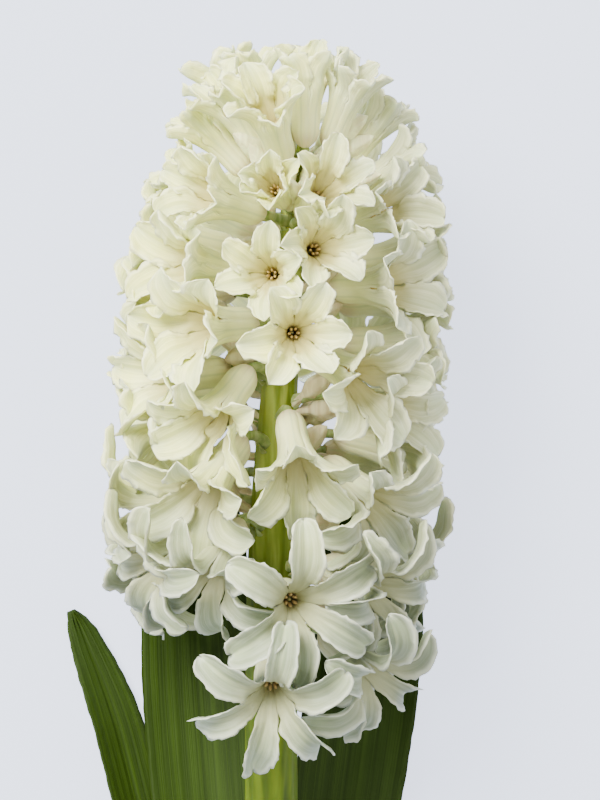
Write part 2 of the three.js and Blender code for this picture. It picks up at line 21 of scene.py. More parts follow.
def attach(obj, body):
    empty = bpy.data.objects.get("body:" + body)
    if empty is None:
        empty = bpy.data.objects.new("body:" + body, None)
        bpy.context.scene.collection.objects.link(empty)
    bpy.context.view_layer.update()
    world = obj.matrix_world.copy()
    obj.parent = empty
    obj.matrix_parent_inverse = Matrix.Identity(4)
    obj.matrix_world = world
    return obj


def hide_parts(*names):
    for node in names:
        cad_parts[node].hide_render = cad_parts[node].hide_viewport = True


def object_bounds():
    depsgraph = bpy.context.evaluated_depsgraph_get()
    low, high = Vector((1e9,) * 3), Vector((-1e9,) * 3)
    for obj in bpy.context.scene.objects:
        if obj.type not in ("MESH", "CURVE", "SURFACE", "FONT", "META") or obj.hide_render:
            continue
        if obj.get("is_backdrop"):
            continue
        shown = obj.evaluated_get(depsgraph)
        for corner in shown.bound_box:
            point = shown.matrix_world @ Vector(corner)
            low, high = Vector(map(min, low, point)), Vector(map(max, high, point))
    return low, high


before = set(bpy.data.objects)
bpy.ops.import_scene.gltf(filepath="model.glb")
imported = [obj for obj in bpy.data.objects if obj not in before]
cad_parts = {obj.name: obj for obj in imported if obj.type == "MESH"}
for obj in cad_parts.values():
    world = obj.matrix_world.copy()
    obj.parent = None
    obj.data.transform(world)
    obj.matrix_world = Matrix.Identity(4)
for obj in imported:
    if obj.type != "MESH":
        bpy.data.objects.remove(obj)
CAD_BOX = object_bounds()

LOG = logging.getLogger("hyacinth")
MM = 0.001
# Three balls fill a floret's foot, waist and mouth, and two fill each of its lobes.
LOBES = 6
AXIS_BALLS = 3
# The ribs' wave turns by this many radians from a petal's middle to its rim.
RIB_COUNT = 12.5
Socket, Node, Tree = bpy.types.NodeSocket, bpy.types.Node, bpy.types.NodeTree
Mesh, Material, Piece = bpy.types.Mesh, bpy.types.Material, bpy.types.Object
Paint = tuple | Socket
Array = np.ndarray
Number, Numbers = float | Array, list | tuple | Array
Span = tuple[float, float]


# How the plant lies, and small sums


class Part(Enum):
    """What a vertex of a floret's sheet belongs to."""

    PETAL = 0
    ANTHER = 1
    PISTIL = 2


@dataclass(frozen=True)
class Lying:
    """How the plant's own frame (X across, Y up the stem, Z to the front) lies in the part's frame.

    Args:
        tilt: slope of the stem, in radians.
        cut_height: height of the stem's axis at the cut.
        centre: the plant-frame X and Y over the part's origin.
    """

    tilt: float = math.radians(7.5)
    cut_height: float = 12.3
    centre: Span = (-2.52, 112.08)

    def table_depth(self, along: Array) -> Array:
        """Gives the table's Z in the plant's frame at a height along the stem."""
        return -(self.cut_height + along * math.sin(self.tilt)) / math.cos(self.tilt)

    def height(self, points: Array) -> Array:
        """Gives how high plant-frame points stand over the table."""
        return (points[..., 2] - self.table_depth(points[..., 1])) * math.cos(self.tilt)

    def matrix(self) -> Array:
        """Gives the 4 by 4 matrix from plant-frame millimetres to part-frame metres.

        Returns:
            The matrix.
        """
        turn = Matrix.Rotation(self.tilt, 4, "X")
        shift = Matrix.Translation((-self.centre[0], -self.centre[1], self.cut_height))
        return np.array(Matrix.Scale(MM, 4) @ shift @ turn)

    def place(self, points: Array) -> Array:
        """Turns plant-frame points in millimetres into part-frame points in metres."""
        matrix = self.matrix()
        return points @ matrix[:3, :3].T + matrix[:3, 3]

    def turn(self, directions: Array) -> Array:
        """Turns plant-frame directions into part-frame unit directions."""
        return unit(directions @ self.matrix()[:3, :3].T)


LYING = Lying()


def unit(vectors: Array) -> Array:
    """Scales vectors along the last axis to length 1."""
    return vectors / np.linalg.norm(vectors, axis=-1, keepdims=True)


def dot(a: Array, b: Array) -> Array:
    """Gives the dot products along the last axis, which stays."""
    return np.sum(a * b, axis=-1, keepdims=True)


def lerp(a: Number, b: Number, share: Number) -> Number:
    """Mixes a and b by share."""
    return a * (1 - share) + b * share


def smoothstep(value: Number, low: float, high: float) -> Number:
    """Gives a soft step from 0 at low to 1 at high."""
    share = np.clip((value - low) / (high - low), 0, 1)
    return share * share * (3 - 2 * share)


def outward(azimuth: float) -> Array:
    """Gives the direction out from the stem at an azimuth that counts from the front towards +X."""
    return np.array([math.sin(azimuth), 0.0, math.cos(azimuth)])


class SeededDraws:
    """The same draws from 0 to 1 on every run."""

    multiplier = 16807
    modulus = 2147483647

    def __init__(self, seed: int) -> None:
        """Starts the row of draws at a seed."""
        self.state = seed

    def __call__(self) -> float:
        """Gives the next draw."""
        self.state = self.state * self.multiplier % self.modulus
        return self.state / self.modulus


# How the head grows


@dataclass(frozen=True)
class StemForm:
    """Sizes of the stem and of the slice of root plate below it."""

    length: float = 209
    foot_radius: float = 6
    neck_radius: float = 5.6
    neck_at: float = 100
    tip_radius: float = 2.2
    lean: float = 6.4
    lean_from: float = 110
    lean_to: float = 230
    plate_radius: float = 11.8
    plate_thickness: float = 3.6

    def axis(self, along: Number) -> Array:
        """Gives the axis point at a height along the stem.

        Args:
            along: the height or heights, in millimetres.

        Returns:
            The point or points.
        """
        along = np.asarray(along, float)
        across = self.lean * smoothstep(along, self.lean_from, self.lean_to)
        return np.stack([across, along, np.zeros_like(along)], -1)

    def radius(self, along: Number) -> Array:
        """Gives the stem's radius at a height along it.

        Args:
            along: the height or heights, in millimetres.

        Returns:
            The radius or radii, in millimetres.
        """
        low = lerp(self.foot_radius, self.neck_radius, np.maximum(0, along) / self.neck_at)
        above = (along - self.neck_at) / (self.length - self.neck_at)
        return np.where(along < self.neck_at, low, lerp(self.neck_radius, self.tip_radius, above))


@dataclass(frozen=True)
class FloretForm:
    """Sizes of one floret at size 1, as it would grow with nothing near it."""

    stalk_length: float = 8.3
    stalk_rise: float = 1.6
    stalk_root: float = 1.6
    tube_length: float = 15
    mouth_radius: float = 4.5
    lobe_length: float = 12.5
    widest_at: float = 0.48
    shut_width: float = 4.5
    shut_flare: float = math.radians(9)
    shut_curl: float = math.radians(20)
    open_width: float = 3.6
    open_flare: float = math.radians(40)
    open_curl: float = math.radians(132)
    curl_onset: float = 1.3
    curve_steps: int = 12
    openness_spread: float = 0.22
    angle_spread: float = 0.14
    shortest: float = 0.94
    length_spread: float = 0.12


# Each line places one floret of the front half: its height on the stem, its azimuth round the stem from the
# front towards +X, its pitch above the level, its turn to the side and its roll, in degrees, then its size
# and its openness.
FRONT_FLORETS = (
    (92, 1, -26, 0, 20, 1.1, 1),
    (98, 52, -34, 0, 44, 1.08, 1),
    (107, 8, -10, 4, 30, 1.12, 0.95),
    (113, 53, -20, 0, 10, 1.08, 1),
    (122, -30, -44, -6, 24, 1.08, 0.95),
    (120, -60, -24, 0, 50, 1.08, 0.95),
    (127, -90, -8, 0, 32, 1.14, 0.8),
    (135, 54, -34, 0, 22, 1.08, 0.7),
    (140, -33, -38, -6, 14, 1.1, 0.5),
    (145.5, 11, -46, 0, 36, 1, 0.4),
    (141, 90, -14, 0, 5, 1.04, 0.6),
    (146, -90, -14, 0, 41, 1.02, 0.5),
    (155, -33, -38, 0, 17, 1.06, 0.45),
    (155, -64, -6, 0, 52, 1.06, 0.45),
    (149.5, 63, -14, 0, 28, 1.06, 0.5),
    (158.5, 37, -20, 0, 3, 1.04, 0.42),
    (161, 88, 0, 0, 38, 1.04, 0.42),
    (163.5, 5, -4, 2, 4, 0.92, 0.36),
    (165, -31, -2, -12, 46, 1.1, 0.32),
    (167, -88, 2, 0, 12, 1.04, 0.38),
    (176, -52, 6, 0, 30, 1.04, 0.34),
    (173, 56, 0, 0, 35, 1.04, 0.38),
    (175.5, -7, 0, -6, 26, 0.84, 0.34),
    (178, 90, 8, 0, 55, 1.04, 0.4),
    (180, 13, 4, 4, 8, 0.9, 0.36),
    (181, -86, 12, 0, 21, 1.02, 0.36),
    (186, 53, 14, 0, 47, 1.02, 0.34),
    (189, -35, 12, -10, 33, 1.06, 0.28),
    (188.5, 12, 20, 6, 15, 0.94, 0.34),
    (191.5, -12, 14, 0, 40, 0.76, 0.1),
    (193, 86, 26, 0, 6, 0.96, 0.36),
    (190, -82, 30, 0, 29, 0.96, 0.36),
    (200, -15, 40, 0, 57, 0.98, 0.26),
    (203.5, 42, 60, 0, 19, 0.86, 0.3),
    (198, -78, 46, 0, 43, 0.88, 0.32),
    (199, 82, 54, 0, 31, 0.84, 0.3),
    (203.5, 10, 74, 0, 2, 0.9, 0.14),
    (202, -52, 52, 0, 25, 0.86, 0.3),
    (205, -70, 84, 0, 49, 0.82, 0.12),
)


@dataclass(frozen=True)
class Crowding:
    """The back florets' spiral, and how florets push each other aside while they grow."""

    seed: int = 20811
    back_count: int = 42
    back_from: float = 102
    back_to: float = 205
    golden_angle: float = 137.508
    front_azimuth: float = 104
    pitches: Span = (-24, 8)
    pitches_until: float = 0.75
    top_pitch: float = 48
    top_pitch_from: float = 0.72
    rolls: float = 60
    back_size: float = 1.08
    top_size: float = 0.84
    top_size_from: float = 0.7
    openness: Span = (0.95, 0.4)
    leaf_below: float = 134
    leaf_azimuth: float = 154
    ball_radii: tuple[float, ...] = (2.6, 3.6, 5.0) + (2.7,) * LOBES + (2.0,) * LOBES
    passes: int = 90
    first_hold: float = 0.3
    last_hold: float = 0.05
    front_hold: float = 0.4
    back_hold: float = 0.1
    push: float = 0.6
    lobe_share: float = 0.12
    reach: float = 46
    stem_gap: float = 1
    floor_lobe: float = 0.75
    leaf_top: float = 5.5
    leaf_end: float = 138
    leaf_side: float = 33


class Head:
    """The head's florets, as arrays with a row for each floret and a column for each of its lobes."""

    def __init__(self, stem: StemForm, form: FloretForm, crowding: Crowding) -> None:
        """Grows every floret freely, and then lets them settle.

        Args:
            stem: what the florets grow on.
            form: the sizes of a floret.
            crowding: the spiral and the pushing.
        """
        self.stem, self.form, self.crowding = stem, form, crowding
        draw = SeededDraws(crowding.seed)
        grown = [self._grow(line, crowding.front_hold, draw) for line in FRONT_FLORETS]
        grown += [self._grow(line, crowding.back_hold, draw) for line in self._back_lines(draw)]
        for name in grown[0]:
            setattr(self, name, np.array([floret[name] for floret in grown]))
        self.mouth = self.foot + self.aim * self.tube[:, None]
        self.middle = self.rest_point(0.5)
        self.tip = self.rest_point(1.0)
        for step in range(crowding.passes):
            self._settle(lerp(crowding.first_hold, crowding.last_hold, step / (crowding.passes - 1)))

    def _back_lines(self, draw: SeededDraws) -> Iterator[tuple[float, ...]]:
        """Yields the back florets' lines, in the order in which they draw.

        Args:
            draw: where the draws come from.

        Yields:
            A floret's line.
        """
        c = self.crowding
        for n in range(c.back_count):
            share = n / (c.back_count - 1)
            height = lerp(c.back_from, c.back_to, share)
            azimuth = (n * c.golden_angle + 180) % 360 - 180
            on_leaf = height < c.leaf_below and abs(azimuth) > c.leaf_azimuth
            if abs(azimuth) < c.front_azimuth or on_leaf:
                continue
            pitch = lerp(*c.pitches, smoothstep(share, 0, c.pitches_until))
            pitch += c.top_pitch * smoothstep(share, c.top_pitch_from, 1)
            size = c.back_size * lerp(1, c.top_size, smoothstep(share, c.top_size_from, 1))
            yield height, azimuth, pitch, 0, draw() * c.rolls, size, lerp(*c.openness, share)

    def _grow(self, line: tuple[float, ...], hold: float, draw: SeededDraws) -> dict:
        """Grows one free floret.

        Args:
            line: height, azimuth, pitch, turn, roll, size and openness.
            hold: how well its mouth keeps its place.
            draw: the draws that all florets share.

        Returns:
            The floret's values by name.
        """
        height, azimuth, pitch, turn, roll, size, openness = line
        azimuth, pitch = math.radians(azimuth), math.radians(pitch)
        out, form = outward(azimuth), self.form
        aim = outward(azimuth + math.radians(turn)) * math.cos(pitch)
        aim[1] = math.sin(pitch)
        radius = float(self.stem.radius(height))
        angle, length, width, flare, curl = [], [], [], [], []
        for k in range(LOBES):
            opened = float(np.clip(openness + form.openness_spread * (draw() - 0.5), 0, 1.1))
            angle.append(math.radians(roll) + 2 * math.pi / LOBES * k + form.angle_spread * (draw() - 0.5))
            length.append(form.lobe_length * size * (form.shortest + form.length_spread * draw()))
            width.append(lerp(form.shut_width, form.open_width, opened) * size)
            flare.append(lerp(form.shut_flare, form.open_flare, opened))
            curl.append(lerp(form.shut_curl, form.open_curl, opened))
        return {
            "height": height, "azimuth": azimuth, "size": size, "tube": form.tube_length * size, "hold": hold,
            "start": self.stem.axis(height) + out * (radius - form.stalk_root),
            "foot": self.stem.axis(height + form.stalk_rise)
            + out * (radius + form.stalk_length * math.sqrt(size)),
            "aim": aim, "side": np.array([math.cos(azimuth), 0.0, -math.sin(azimuth)]),
            "angle": angle, "length": length, "width": width, "flare": flare, "curl": curl,
        }

    def frames(self) -> tuple[Array, Array, Array]:
        """Gives each floret's directions: along its tube, and the two across it.

        Returns:
            The three directions of each floret.
        """
        along = unit(self.mouth - self.foot)
        across = unit(self.side - along * dot(self.side, along))
        return along, across, np.cross(along, across)

    def lobe_outward(self, angle: Array) -> Array:
        """Gives the directions out from the tubes' axes at these angles, one row for each floret.

        Args:
            angle: the angles round the axes.

        Returns:
            The directions.
        """
        _, across, up = self.frames()
        shape = (len(across),) + (1,) * (np.ndim(angle) - 1) + (3,)
        return np.cos(angle)[..., None] * across.reshape(shape) + np.sin(angle)[..., None] * up.reshape(shape)

    def lobe_curve(self, share: float) -> tuple[Array, Array]:
        """Works out how far the lobes' midlines have gone out and along.

        Args:
            share: the share of the lobes' length.

        Returns:
            How far out from the tube's axis, and how far along it: floret, lobe.
        """
        steps = self.form.curve_steps
        out = np.repeat(self.form.mouth_radius * self.size[:, None], LOBES, 1)
        along = np.repeat(self.tube[:, None], LOBES, 1)
        step = self.length * share / steps
        for i in range(steps):
            bend = self.flare + self.curl * ((i + 0.5) / steps * share) ** self.form.curl_onset
            out = out + step * np.sin(bend)
            along = along + step * np.cos(bend)
        return out, along

    def rest_point(self, share: float) -> Array:
        """Gives the free lobes' midline points at a share of their length.

        Args:
            share: the share of the lobes' length.

        Returns:
            The points: floret, lobe, coordinate.
        """
        out, along = self.lobe_curve(share)
        tube = self.frames()[0][:, None]
        return self.foot[:, None] + self.lobe_outward(self.angle) * out[..., None] + tube * along[..., None]

    def settled_point(self, share: float) -> Array:
        """Gives the settled lobes' midline points: the free ones, moved as their middles and tips were.

        Args:
            share: the share of the lobes' length.

        Returns:
            The points: floret, lobe, coordinate.
        """
        middle_shift = self.middle - self.rest_point(0.5)
        tip_shift = self.tip - self.rest_point(1.0)
        bend = middle_shift * (4 * share * (1 - share)) + tip_shift * (share * (2 * share - 1))
        return self.rest_point(share) + bend

    def _ball_pushes(self, centres: Array, radii: Array) -> Array:
        """Works out how the florets' balls push each other.

        Args:
            centres: the balls, by floret.
            radii: their radii, by floret.

        Returns:
            The push on each ball.
        """
        count, balls = radii.shape
        flat, flat_radii = centres.reshape(-1, 3), radii.reshape(-1)
        owner = np.repeat(np.arange(count), balls)
        gap = self.mouth[:, None] - self.mouth[None]
        near = (np.linalg.norm(gap, axis=-1) < self.crowding.reach) & ~np.eye(count, dtype=bool)
        kind = np.arange(balls) - AXIS_BALLS
        other_lobe = (kind[:, None] >= 0) & (kind[None] >= 0) & ((kind[:, None] - kind[None]) % LOBES != 0)
        meet = near[owner][:, owner] | np.kron(np.eye(count, dtype=bool), other_lobe)
        between = flat[:, None] - flat[None]
        distance = np.sqrt(np.einsum("ijk,ijk->ij", between, between))
        room = flat_radii[:, None] + flat_radii[None]
        touching = meet & (distance < room)
        share = np.where(touching, (room - distance) / (2 * np.where(touching, distance, 1)), 0)
        return np.einsum("ij,ijk->ik", share, between).reshape(count, balls, 3)

    def _plant_pushes(self, centres: Array, radii: Array, floor_room: Array) -> Array:
        """Works out how the stem, the table and the leaves on it push the balls.

        Args:
            centres: the balls, by floret.
            radii: their radii.
            floor_room: the height that each keeps over the table.

        Returns:
            The push on each ball.
        """
        c = self.crowding
        along = centres[..., 1]
        from_stem = (centres - self.stem.axis(along)) * np.array([1, 0, 1])
        distance = np.linalg.norm(from_stem, axis=-1)
        room = self.stem.radius(along) + radii + c.stem_gap
        close = (along < self.stem.length) & (distance < room)
        push = from_stem * np.where(close, (room - distance) / distance, 0)[..., None]
        over_leaf = (along < c.leaf_end) & (np.abs(centres[..., 0]) < c.leaf_side)
        sinking = floor_room + np.where(over_leaf, c.leaf_top, 0) - LYING.height(centres)
        push[..., 2] += np.maximum(sinking, 0)
        return push

    def _settle(self, hold: float) -> None:
        """Moves all mouths and lobes once, as they are pushed.

        Args:
            hold: how well the lobes keep their free shape in this pass.
        """
        c = self.crowding
        waist = lerp(self.foot, self.mouth, 0.5)
        centres = np.concatenate([np.stack([self.foot, waist, self.mouth], 1), self.middle, self.tip], 1)
        radii = np.array(c.ball_radii)[None] * self.size[:, None]
        floor_room = np.where(np.arange(radii.shape[1]) < AXIS_BALLS, radii, c.floor_lobe)
        push = self._ball_pushes(centres, radii)
        push[:, 1:] += self._plant_pushes(centres[:, 1:], radii[:, 1:], floor_room[:, 1:])
        free_mouth = self.foot + self.aim * self.tube[:, None]
        mouth = lerp(self.mouth, free_mouth, self.hold[:, None])
        _, waist_push, mouth_push = (push[:, ball] for ball in range(AXIS_BALLS))
        middle_push, tip_push = push[:, AXIS_BALLS:-LOBES], push[:, -LOBES:]
        mouth += c.push * (waist_push + mouth_push) + c.lobe_share * push[:, AXIS_BALLS:].sum(1)
        self.mouth = self.foot + unit(mouth - self.foot) * self.tube[:, None]
        root, free_middle, free_tip = (self.rest_point(share) for share in (0, 0.5, 1))
        middle = lerp(self.middle, free_middle, hold) + c.push * middle_push
        tip = lerp(self.tip, free_tip, hold) + c.push * tip_push
        reach = np.linalg.norm(free_middle - root, axis=-1, keepdims=True)
        self.middle = root + unit(middle - root) * reach
        reach = np.linalg.norm(free_tip - free_middle, axis=-1, keepdims=True)
        self.tip = self.middle + unit(tip - self.middle) * reach

    def node_names(self) -> list[str]:
        """Gives each floret's node, which counts from the lowest floret to the top one.

        Returns:
            The names, in the head's order.
        """
        order = np.argsort(self.height, kind="stable")
        names = [""] * len(order)
        for place, index in enumerate(order):
            names[index] = f"floret_{place + 1:02d}"
        return names


# Node trees


class Sketch:
    """Adds nodes to a tree and wires them."""

    def __init__(self, tree: Tree) -> None:
        """Keeps the tree that the nodes are added to."""
        self.tree = tree

    def feed(self, node: Node, inputs: dict) -> None:
        """Gives a node's inputs a value or a link each.

        Args:
            node: the node.
            inputs: values or sockets for its inputs, by name or by number.
        """
        for key, value in inputs.items():
            if isinstance(value, Socket):
                self.tree.links.new(value, node.inputs[key])
            else:
                node.inputs[key].default_value = value

    def add(self, kind: str, inputs: dict | None = None, **settings: object) -> Node:
        """Adds one node.

        Args:
            kind: the node's type name.
            inputs: values or sockets for its inputs, by name or by number.
            settings: the node's own properties.

        Returns:
            The node.
        """
        node = self.tree.nodes.new(kind)
        for name, value in settings.items():
            setattr(node, name, value)
        self.feed(node, inputs or {})
        return node

    def out(self, kind: str, inputs: dict | None = None, **settings: object) -> Socket:
        """Adds one node and gives its first output."""
        return self.add(kind, inputs, **settings).outputs[0]

    def group(self, tree: Tree, inputs: dict) -> Node:
        """Adds a node that runs a group."""
        return self.add(tree.bl_idname.replace("Tree", "Group"), inputs, node_tree=tree)

    def math(self, operation: str, *values: float | Socket) -> Socket:
        """Adds a Math node and gives its result."""
        return self.out("ShaderNodeMath", dict(enumerate(values)), operation=operation)

    def times(self, product: float | Socket, *factors: float | Socket) -> Socket:
        """Multiplies a value by each factor in turn and gives the product.

        Args:
            product: the value.
            factors: what it is multiplied by.

        Returns:
            The product.
        """
        for factor in factors:
            product = self.math("MULTIPLY", product, factor)
        return product

    def parts(self, vector: Socket) -> tuple[Socket, Socket]:
        """Gives a vector's first two coordinates."""
        return tuple(self.add("ShaderNodeSeparateXYZ", {0: vector}).outputs[:2])

    def uv(self) -> Socket:
        """Adds the UV map to a material and gives it."""
        return self.out("ShaderNodeUVMap", uv_map="UVMap")

    def place(self) -> Socket:
        """Adds the place in the piece's own space to a material and gives it."""
        return self.add("ShaderNodeTexCoord").outputs["Object"]

    def scaled(self, vector: Socket, factor: Socket) -> Socket:
        """Scales a vector and gives the result."""
        return self.out("ShaderNodeVectorMath", {0: vector, "Scale": factor}, operation="SCALE")

    def mix(self, share: float | Socket, low: Paint, high: Paint, mode: str = "MIX") -> Socket:
        """Adds a colour Mix node and gives its result."""
        inputs = {0: share, 6: low, 7: high}
        return self.add("ShaderNodeMix", inputs, data_type="RGBA", blend_type=mode).outputs[2]

    def step(self, value: Socket, low: float, high: float) -> Socket:
        """Adds a soft step from 0 at low to 1 at high and gives its result."""
        inputs = {"Value": value, "From Min": low, "From Max": high}
        return self.out("ShaderNodeMapRange", inputs, interpolation_type="SMOOTHSTEP")

    def attribute(self, name: str, kind: str = "FLOAT") -> Socket:
        """Adds a Named Attribute node to a geometry tree and gives its value."""
        return self.out("GeometryNodeInputNamedAttribute", {"Name": name}, data_type=kind)

    def moved(self, geometry: Socket, offset: Socket) -> Socket:
        """Moves a geometry's points and gives the result."""
        return self.out("GeometryNodeSetPosition", {"Geometry": geometry, "Offset": offset})

    def real(self, geometry: Socket) -> Socket:
        """Turns a geometry's instances into plain geometry and gives the result."""
        return self.out("GeometryNodeRealizeInstances", {"Geometry": geometry})

    def join(self, *geometries: Socket) -> Socket:
        """Joins geometries, the last one first, and gives the result.

        Args:
            geometries: what is joined.

        Returns:
            The joined geometry.
        """
        both = self.add("GeometryNodeJoinGeometry")
        for geometry in geometries:
            self.tree.links.new(geometry, both.inputs[0])
        return both.outputs[0]

    def copies(self, points: Socket, shape: Socket) -> Socket:
        """Sets a smooth copy of a shape on each point, turned along its aim and as big as its girth.

        Args:
            points: the points.
            shape: the shape, which stands along Z.

        Returns:
            The copies, as instances.
        """
        aim, girth = self.attribute("aim", "FLOAT_VECTOR"), self.attribute("girth", "FLOAT_VECTOR")
        turn = self.out("FunctionNodeAlignRotationToVector", {"Vector": aim})
        inputs = {"Points": points, "Instance": shape, "Rotation": turn, "Scale": girth}
        return self.out("GeometryNodeSetShadeSmooth", {0: self.out("GeometryNodeInstanceOnPoints", inputs)})


def new_tree(name: str, kind: str, inputs: dict[str, str], outputs: dict[str, str]) -> tuple[Sketch, dict]:
    """Makes a node group with named sockets.

    Args:
        name: the group's name.
        kind: its type, for geometry or for shaders.
        inputs: the kinds of its input sockets, by name.
        outputs: the kinds of its output sockets, by name.

    Returns:
        The sketch of its tree, and its input sockets by name.
    """
    tree = bpy.data.node_groups.new(name, kind)
    for way, sockets in (("INPUT", inputs), ("OUTPUT", outputs)):
        for socket, socket_kind in sockets.items():
            tree.interface.new_socket(name=socket, in_out=way, socket_type=f"NodeSocket{socket_kind}")
    sketch = Sketch(tree)
    group_in = sketch.add("NodeGroupInput")
    return sketch, {socket: group_in.outputs[socket] for socket in inputs}


def geometry_tree(name: str, inputs: dict[str, str]) -> tuple[Sketch, dict]:
    """Makes a geometry group, whose inputs come after its geometry, and gives what new_tree gives."""
    geometry = {"Geometry": "Geometry"}
    return new_tree(name, "GeometryNodeTree", {**geometry, **inputs}, geometry)


def close_tree(sketch: Sketch, results: dict[str, Socket]) -> Tree:
    """Wires results to the group's outputs and gives the tree."""
    sketch.add("NodeGroupOutput", results)
    return sketch.tree


def add_object(name: str, data: bpy.types.ID) -> Piece:
    """Puts an object with this data into the scene and gives it.

    Args:
        name: its name.
        data: its mesh, camera or light.

    Returns:
        The object.
    """
    made = bpy.data.objects.new(name, data)
    bpy.context.scene.collection.objects.link(made)
    return made


def grow_mesh(source: Mesh, name: str, tree: Tree, values: dict) -> Piece:
    """Runs a geometry tree over a mesh and keeps the result as a plain mesh that stays above the table.

    Args:
        source: the mesh that goes in, which is used up.
        name: the finished object's name.
        tree: the geometry tree.
        values: the tree's inputs, by name.

    Returns:
        The finished object, with no modifier left.
    """
    piece = add_object(name, source)
    modifier = piece.modifiers.new("Growth", "NODES")
    modifier.node_group = tree
    for item in tree.interface.items_tree:
        if item.item_type == "SOCKET" and item.in_out == "INPUT" and item.name in values:
            modifier[item.identifier] = values[item.name]
    evaluated = piece.evaluated_get(bpy.context.evaluated_depsgraph_get())
    mesh = bpy.data.meshes.new_from_object(evaluated)
    piece.modifiers.clear()
    piece.data = mesh
    bpy.data.meshes.remove(source)
    mesh.name = name
    points = np.empty(len(mesh.vertices) * 3)
    mesh.vertices.foreach_get("co", points)
    points[2::3] = np.maximum(points[2::3], 0)
    mesh.vertices.foreach_set("co", points)
    mesh.update()
    return piece


BLADE_INPUTS = {
    "Detail": "Int", "Thickness": "Float", "Midrib groove": "Float", "Midrib width": "Float",
    "Vein relief": "Float", "Vein count": "Float", "Rim ruffle": "Float", "Ruffle size": "Float",
    "Seed": "Float",
}
RUFFLE_POWER = 3
RUFFLE_DETAIL = 2.5
MERGE_WITHIN = 2e-6


def blade_tree() -> Tree:
    """Builds the tree that turns a sheet into a closed blade.

    The sheet carries across (-1 to 1), free (0 where it is fused to its neighbours), rim (0 on its border)
    and lining (how far its front is moved, where a tube's wall is thick). It gets a midrib groove, veins and
    a ruffled, notched rim, and then a front and a back that meet at the border.

    Returns:
        The tree, whose result carries back, which is 1 on the blade's back.
    """
    sketch, given = geometry_tree("Blade form", BLADE_INPUTS)
    across, free, rim = (sketch.attribute(name) for name in ("across", "free", "rim"))
    inputs = {"Mesh": given["Geometry"], "Level": given["Detail"]}
    smooth = sketch.out("GeometryNodeSubdivisionSurface", inputs)
    off_mid = sketch.math("ABSOLUTE", across)
    dip = sketch.math("POWER", sketch.math("DIVIDE", off_mid, given["Midrib width"]), 2)
    dip = sketch.math("EXPONENT", sketch.times(dip, -1))
    groove = sketch.times(dip, given["Midrib groove"], -1)
    wave = sketch.math("COSINE", sketch.times(across, given["Vein count"]))
    veins = sketch.times(wave, given["Vein relief"], rim)
    lift = sketch.times(sketch.math("ADD", groove, veins), free)
    inputs = {
        "Vector": sketch.out("GeometryNodeInputPosition"), "W": given["Seed"],
        "Scale": sketch.math("DIVIDE", 1, given["Ruffle size"]), "Detail": RUFFLE_DETAIL,
    }
    noise = sketch.add("ShaderNodeTexNoise", inputs, noise_dimensions="4D").outputs["Color"]
    centred = sketch.out("ShaderNodeVectorMath", {0: noise, 1: (0.5, 0.5, 0.5)}, operation="SUBTRACT")
    ruffle = sketch.times(given["Rim ruffle"], sketch.math("POWER", off_mid, RUFFLE_POWER), free)
    ruffle = sketch.scaled(centred, ruffle)

    def push(geometry: Socket, distance: Socket, extra: Socket | None = None) -> Socket:
        """Moves a geometry along its normals, and by an extra offset, and gives the result.

        Args:
            geometry: the geometry.
            distance: how far it moves along its normals.
            extra: an offset on top of that, or None.

        Returns:
            The moved geometry.
        """
        offset = sketch.scaled(sketch.out("GeometryNodeInputNormal"), distance)
        if extra is not None:
            offset = sketch.out("ShaderNodeVectorMath", {0: offset, 1: extra}, operation="ADD")
        return sketch.moved(geometry, offset)

    sheet = push(smooth, lift, ruffle)
    half = sketch.times(given["Thickness"], 0.5, sketch.math("SQRT", rim))
    front = push(sheet, half, sketch.attribute("lining", "FLOAT_VECTOR"))
    back = sketch.out("GeometryNodeFlipFaces", {"Mesh": push(sheet, sketch.times(half, -1))})
    inputs = {"Geometry": back, "Name": "back", "Value": 1.0}
    back = sketch.out("GeometryNodeStoreNamedAttribute", inputs, data_type="FLOAT", domain="FACE")
    inputs = {"Geometry": sketch.join(back, front), "Distance": MERGE_WITHIN}
    closed = sketch.out("GeometryNodeMergeByDistance", inputs)
    return close_tree(sketch, {"Geometry": sketch.out("GeometryNodeSetShadeSmooth", {0: closed})})


def place_blade(sketch: Sketch, blade: Tree, geometry: Socket, given: dict) -> Socket:
    """Runs the blade group over a sheet, with the tree's own inputs, and gives the closed blades."""
    inputs = {"Geometry": geometry, **{name: given[name] for name in BLADE_INPUTS}}
    return sketch.group(blade, inputs).outputs[0]


def dress(sketch: Sketch, geometry: Socket, material: Socket, mask: Socket | None = None) -> Socket:
    """Gives a geometry a material, on the faces where mask is over a half, or else on all.

    Args:
        sketch: the tree's sketch.
        geometry: the geometry.
        material: the material.
        mask: over a half on the faces that get it, or None for all faces.

    Returns:
        The geometry with its material.
    """
    inputs = {"Geometry": geometry, "Material": material}
    if mask is not None:
        inputs["Selection"] = sketch.out("FunctionNodeCompare", {0: mask, 1: 0.5}, operation="GREATER_THAN")
    return sketch.out("GeometryNodeSetMaterial", inputs)


def close_piece(sketch: Sketch, geometry: Socket, material: Socket) -> Tree:
    """Ends a geometry tree in plain geometry of one material and gives the tree."""
    return close_tree(sketch, {"Geometry": dress(sketch, sketch.real(geometry), material)})


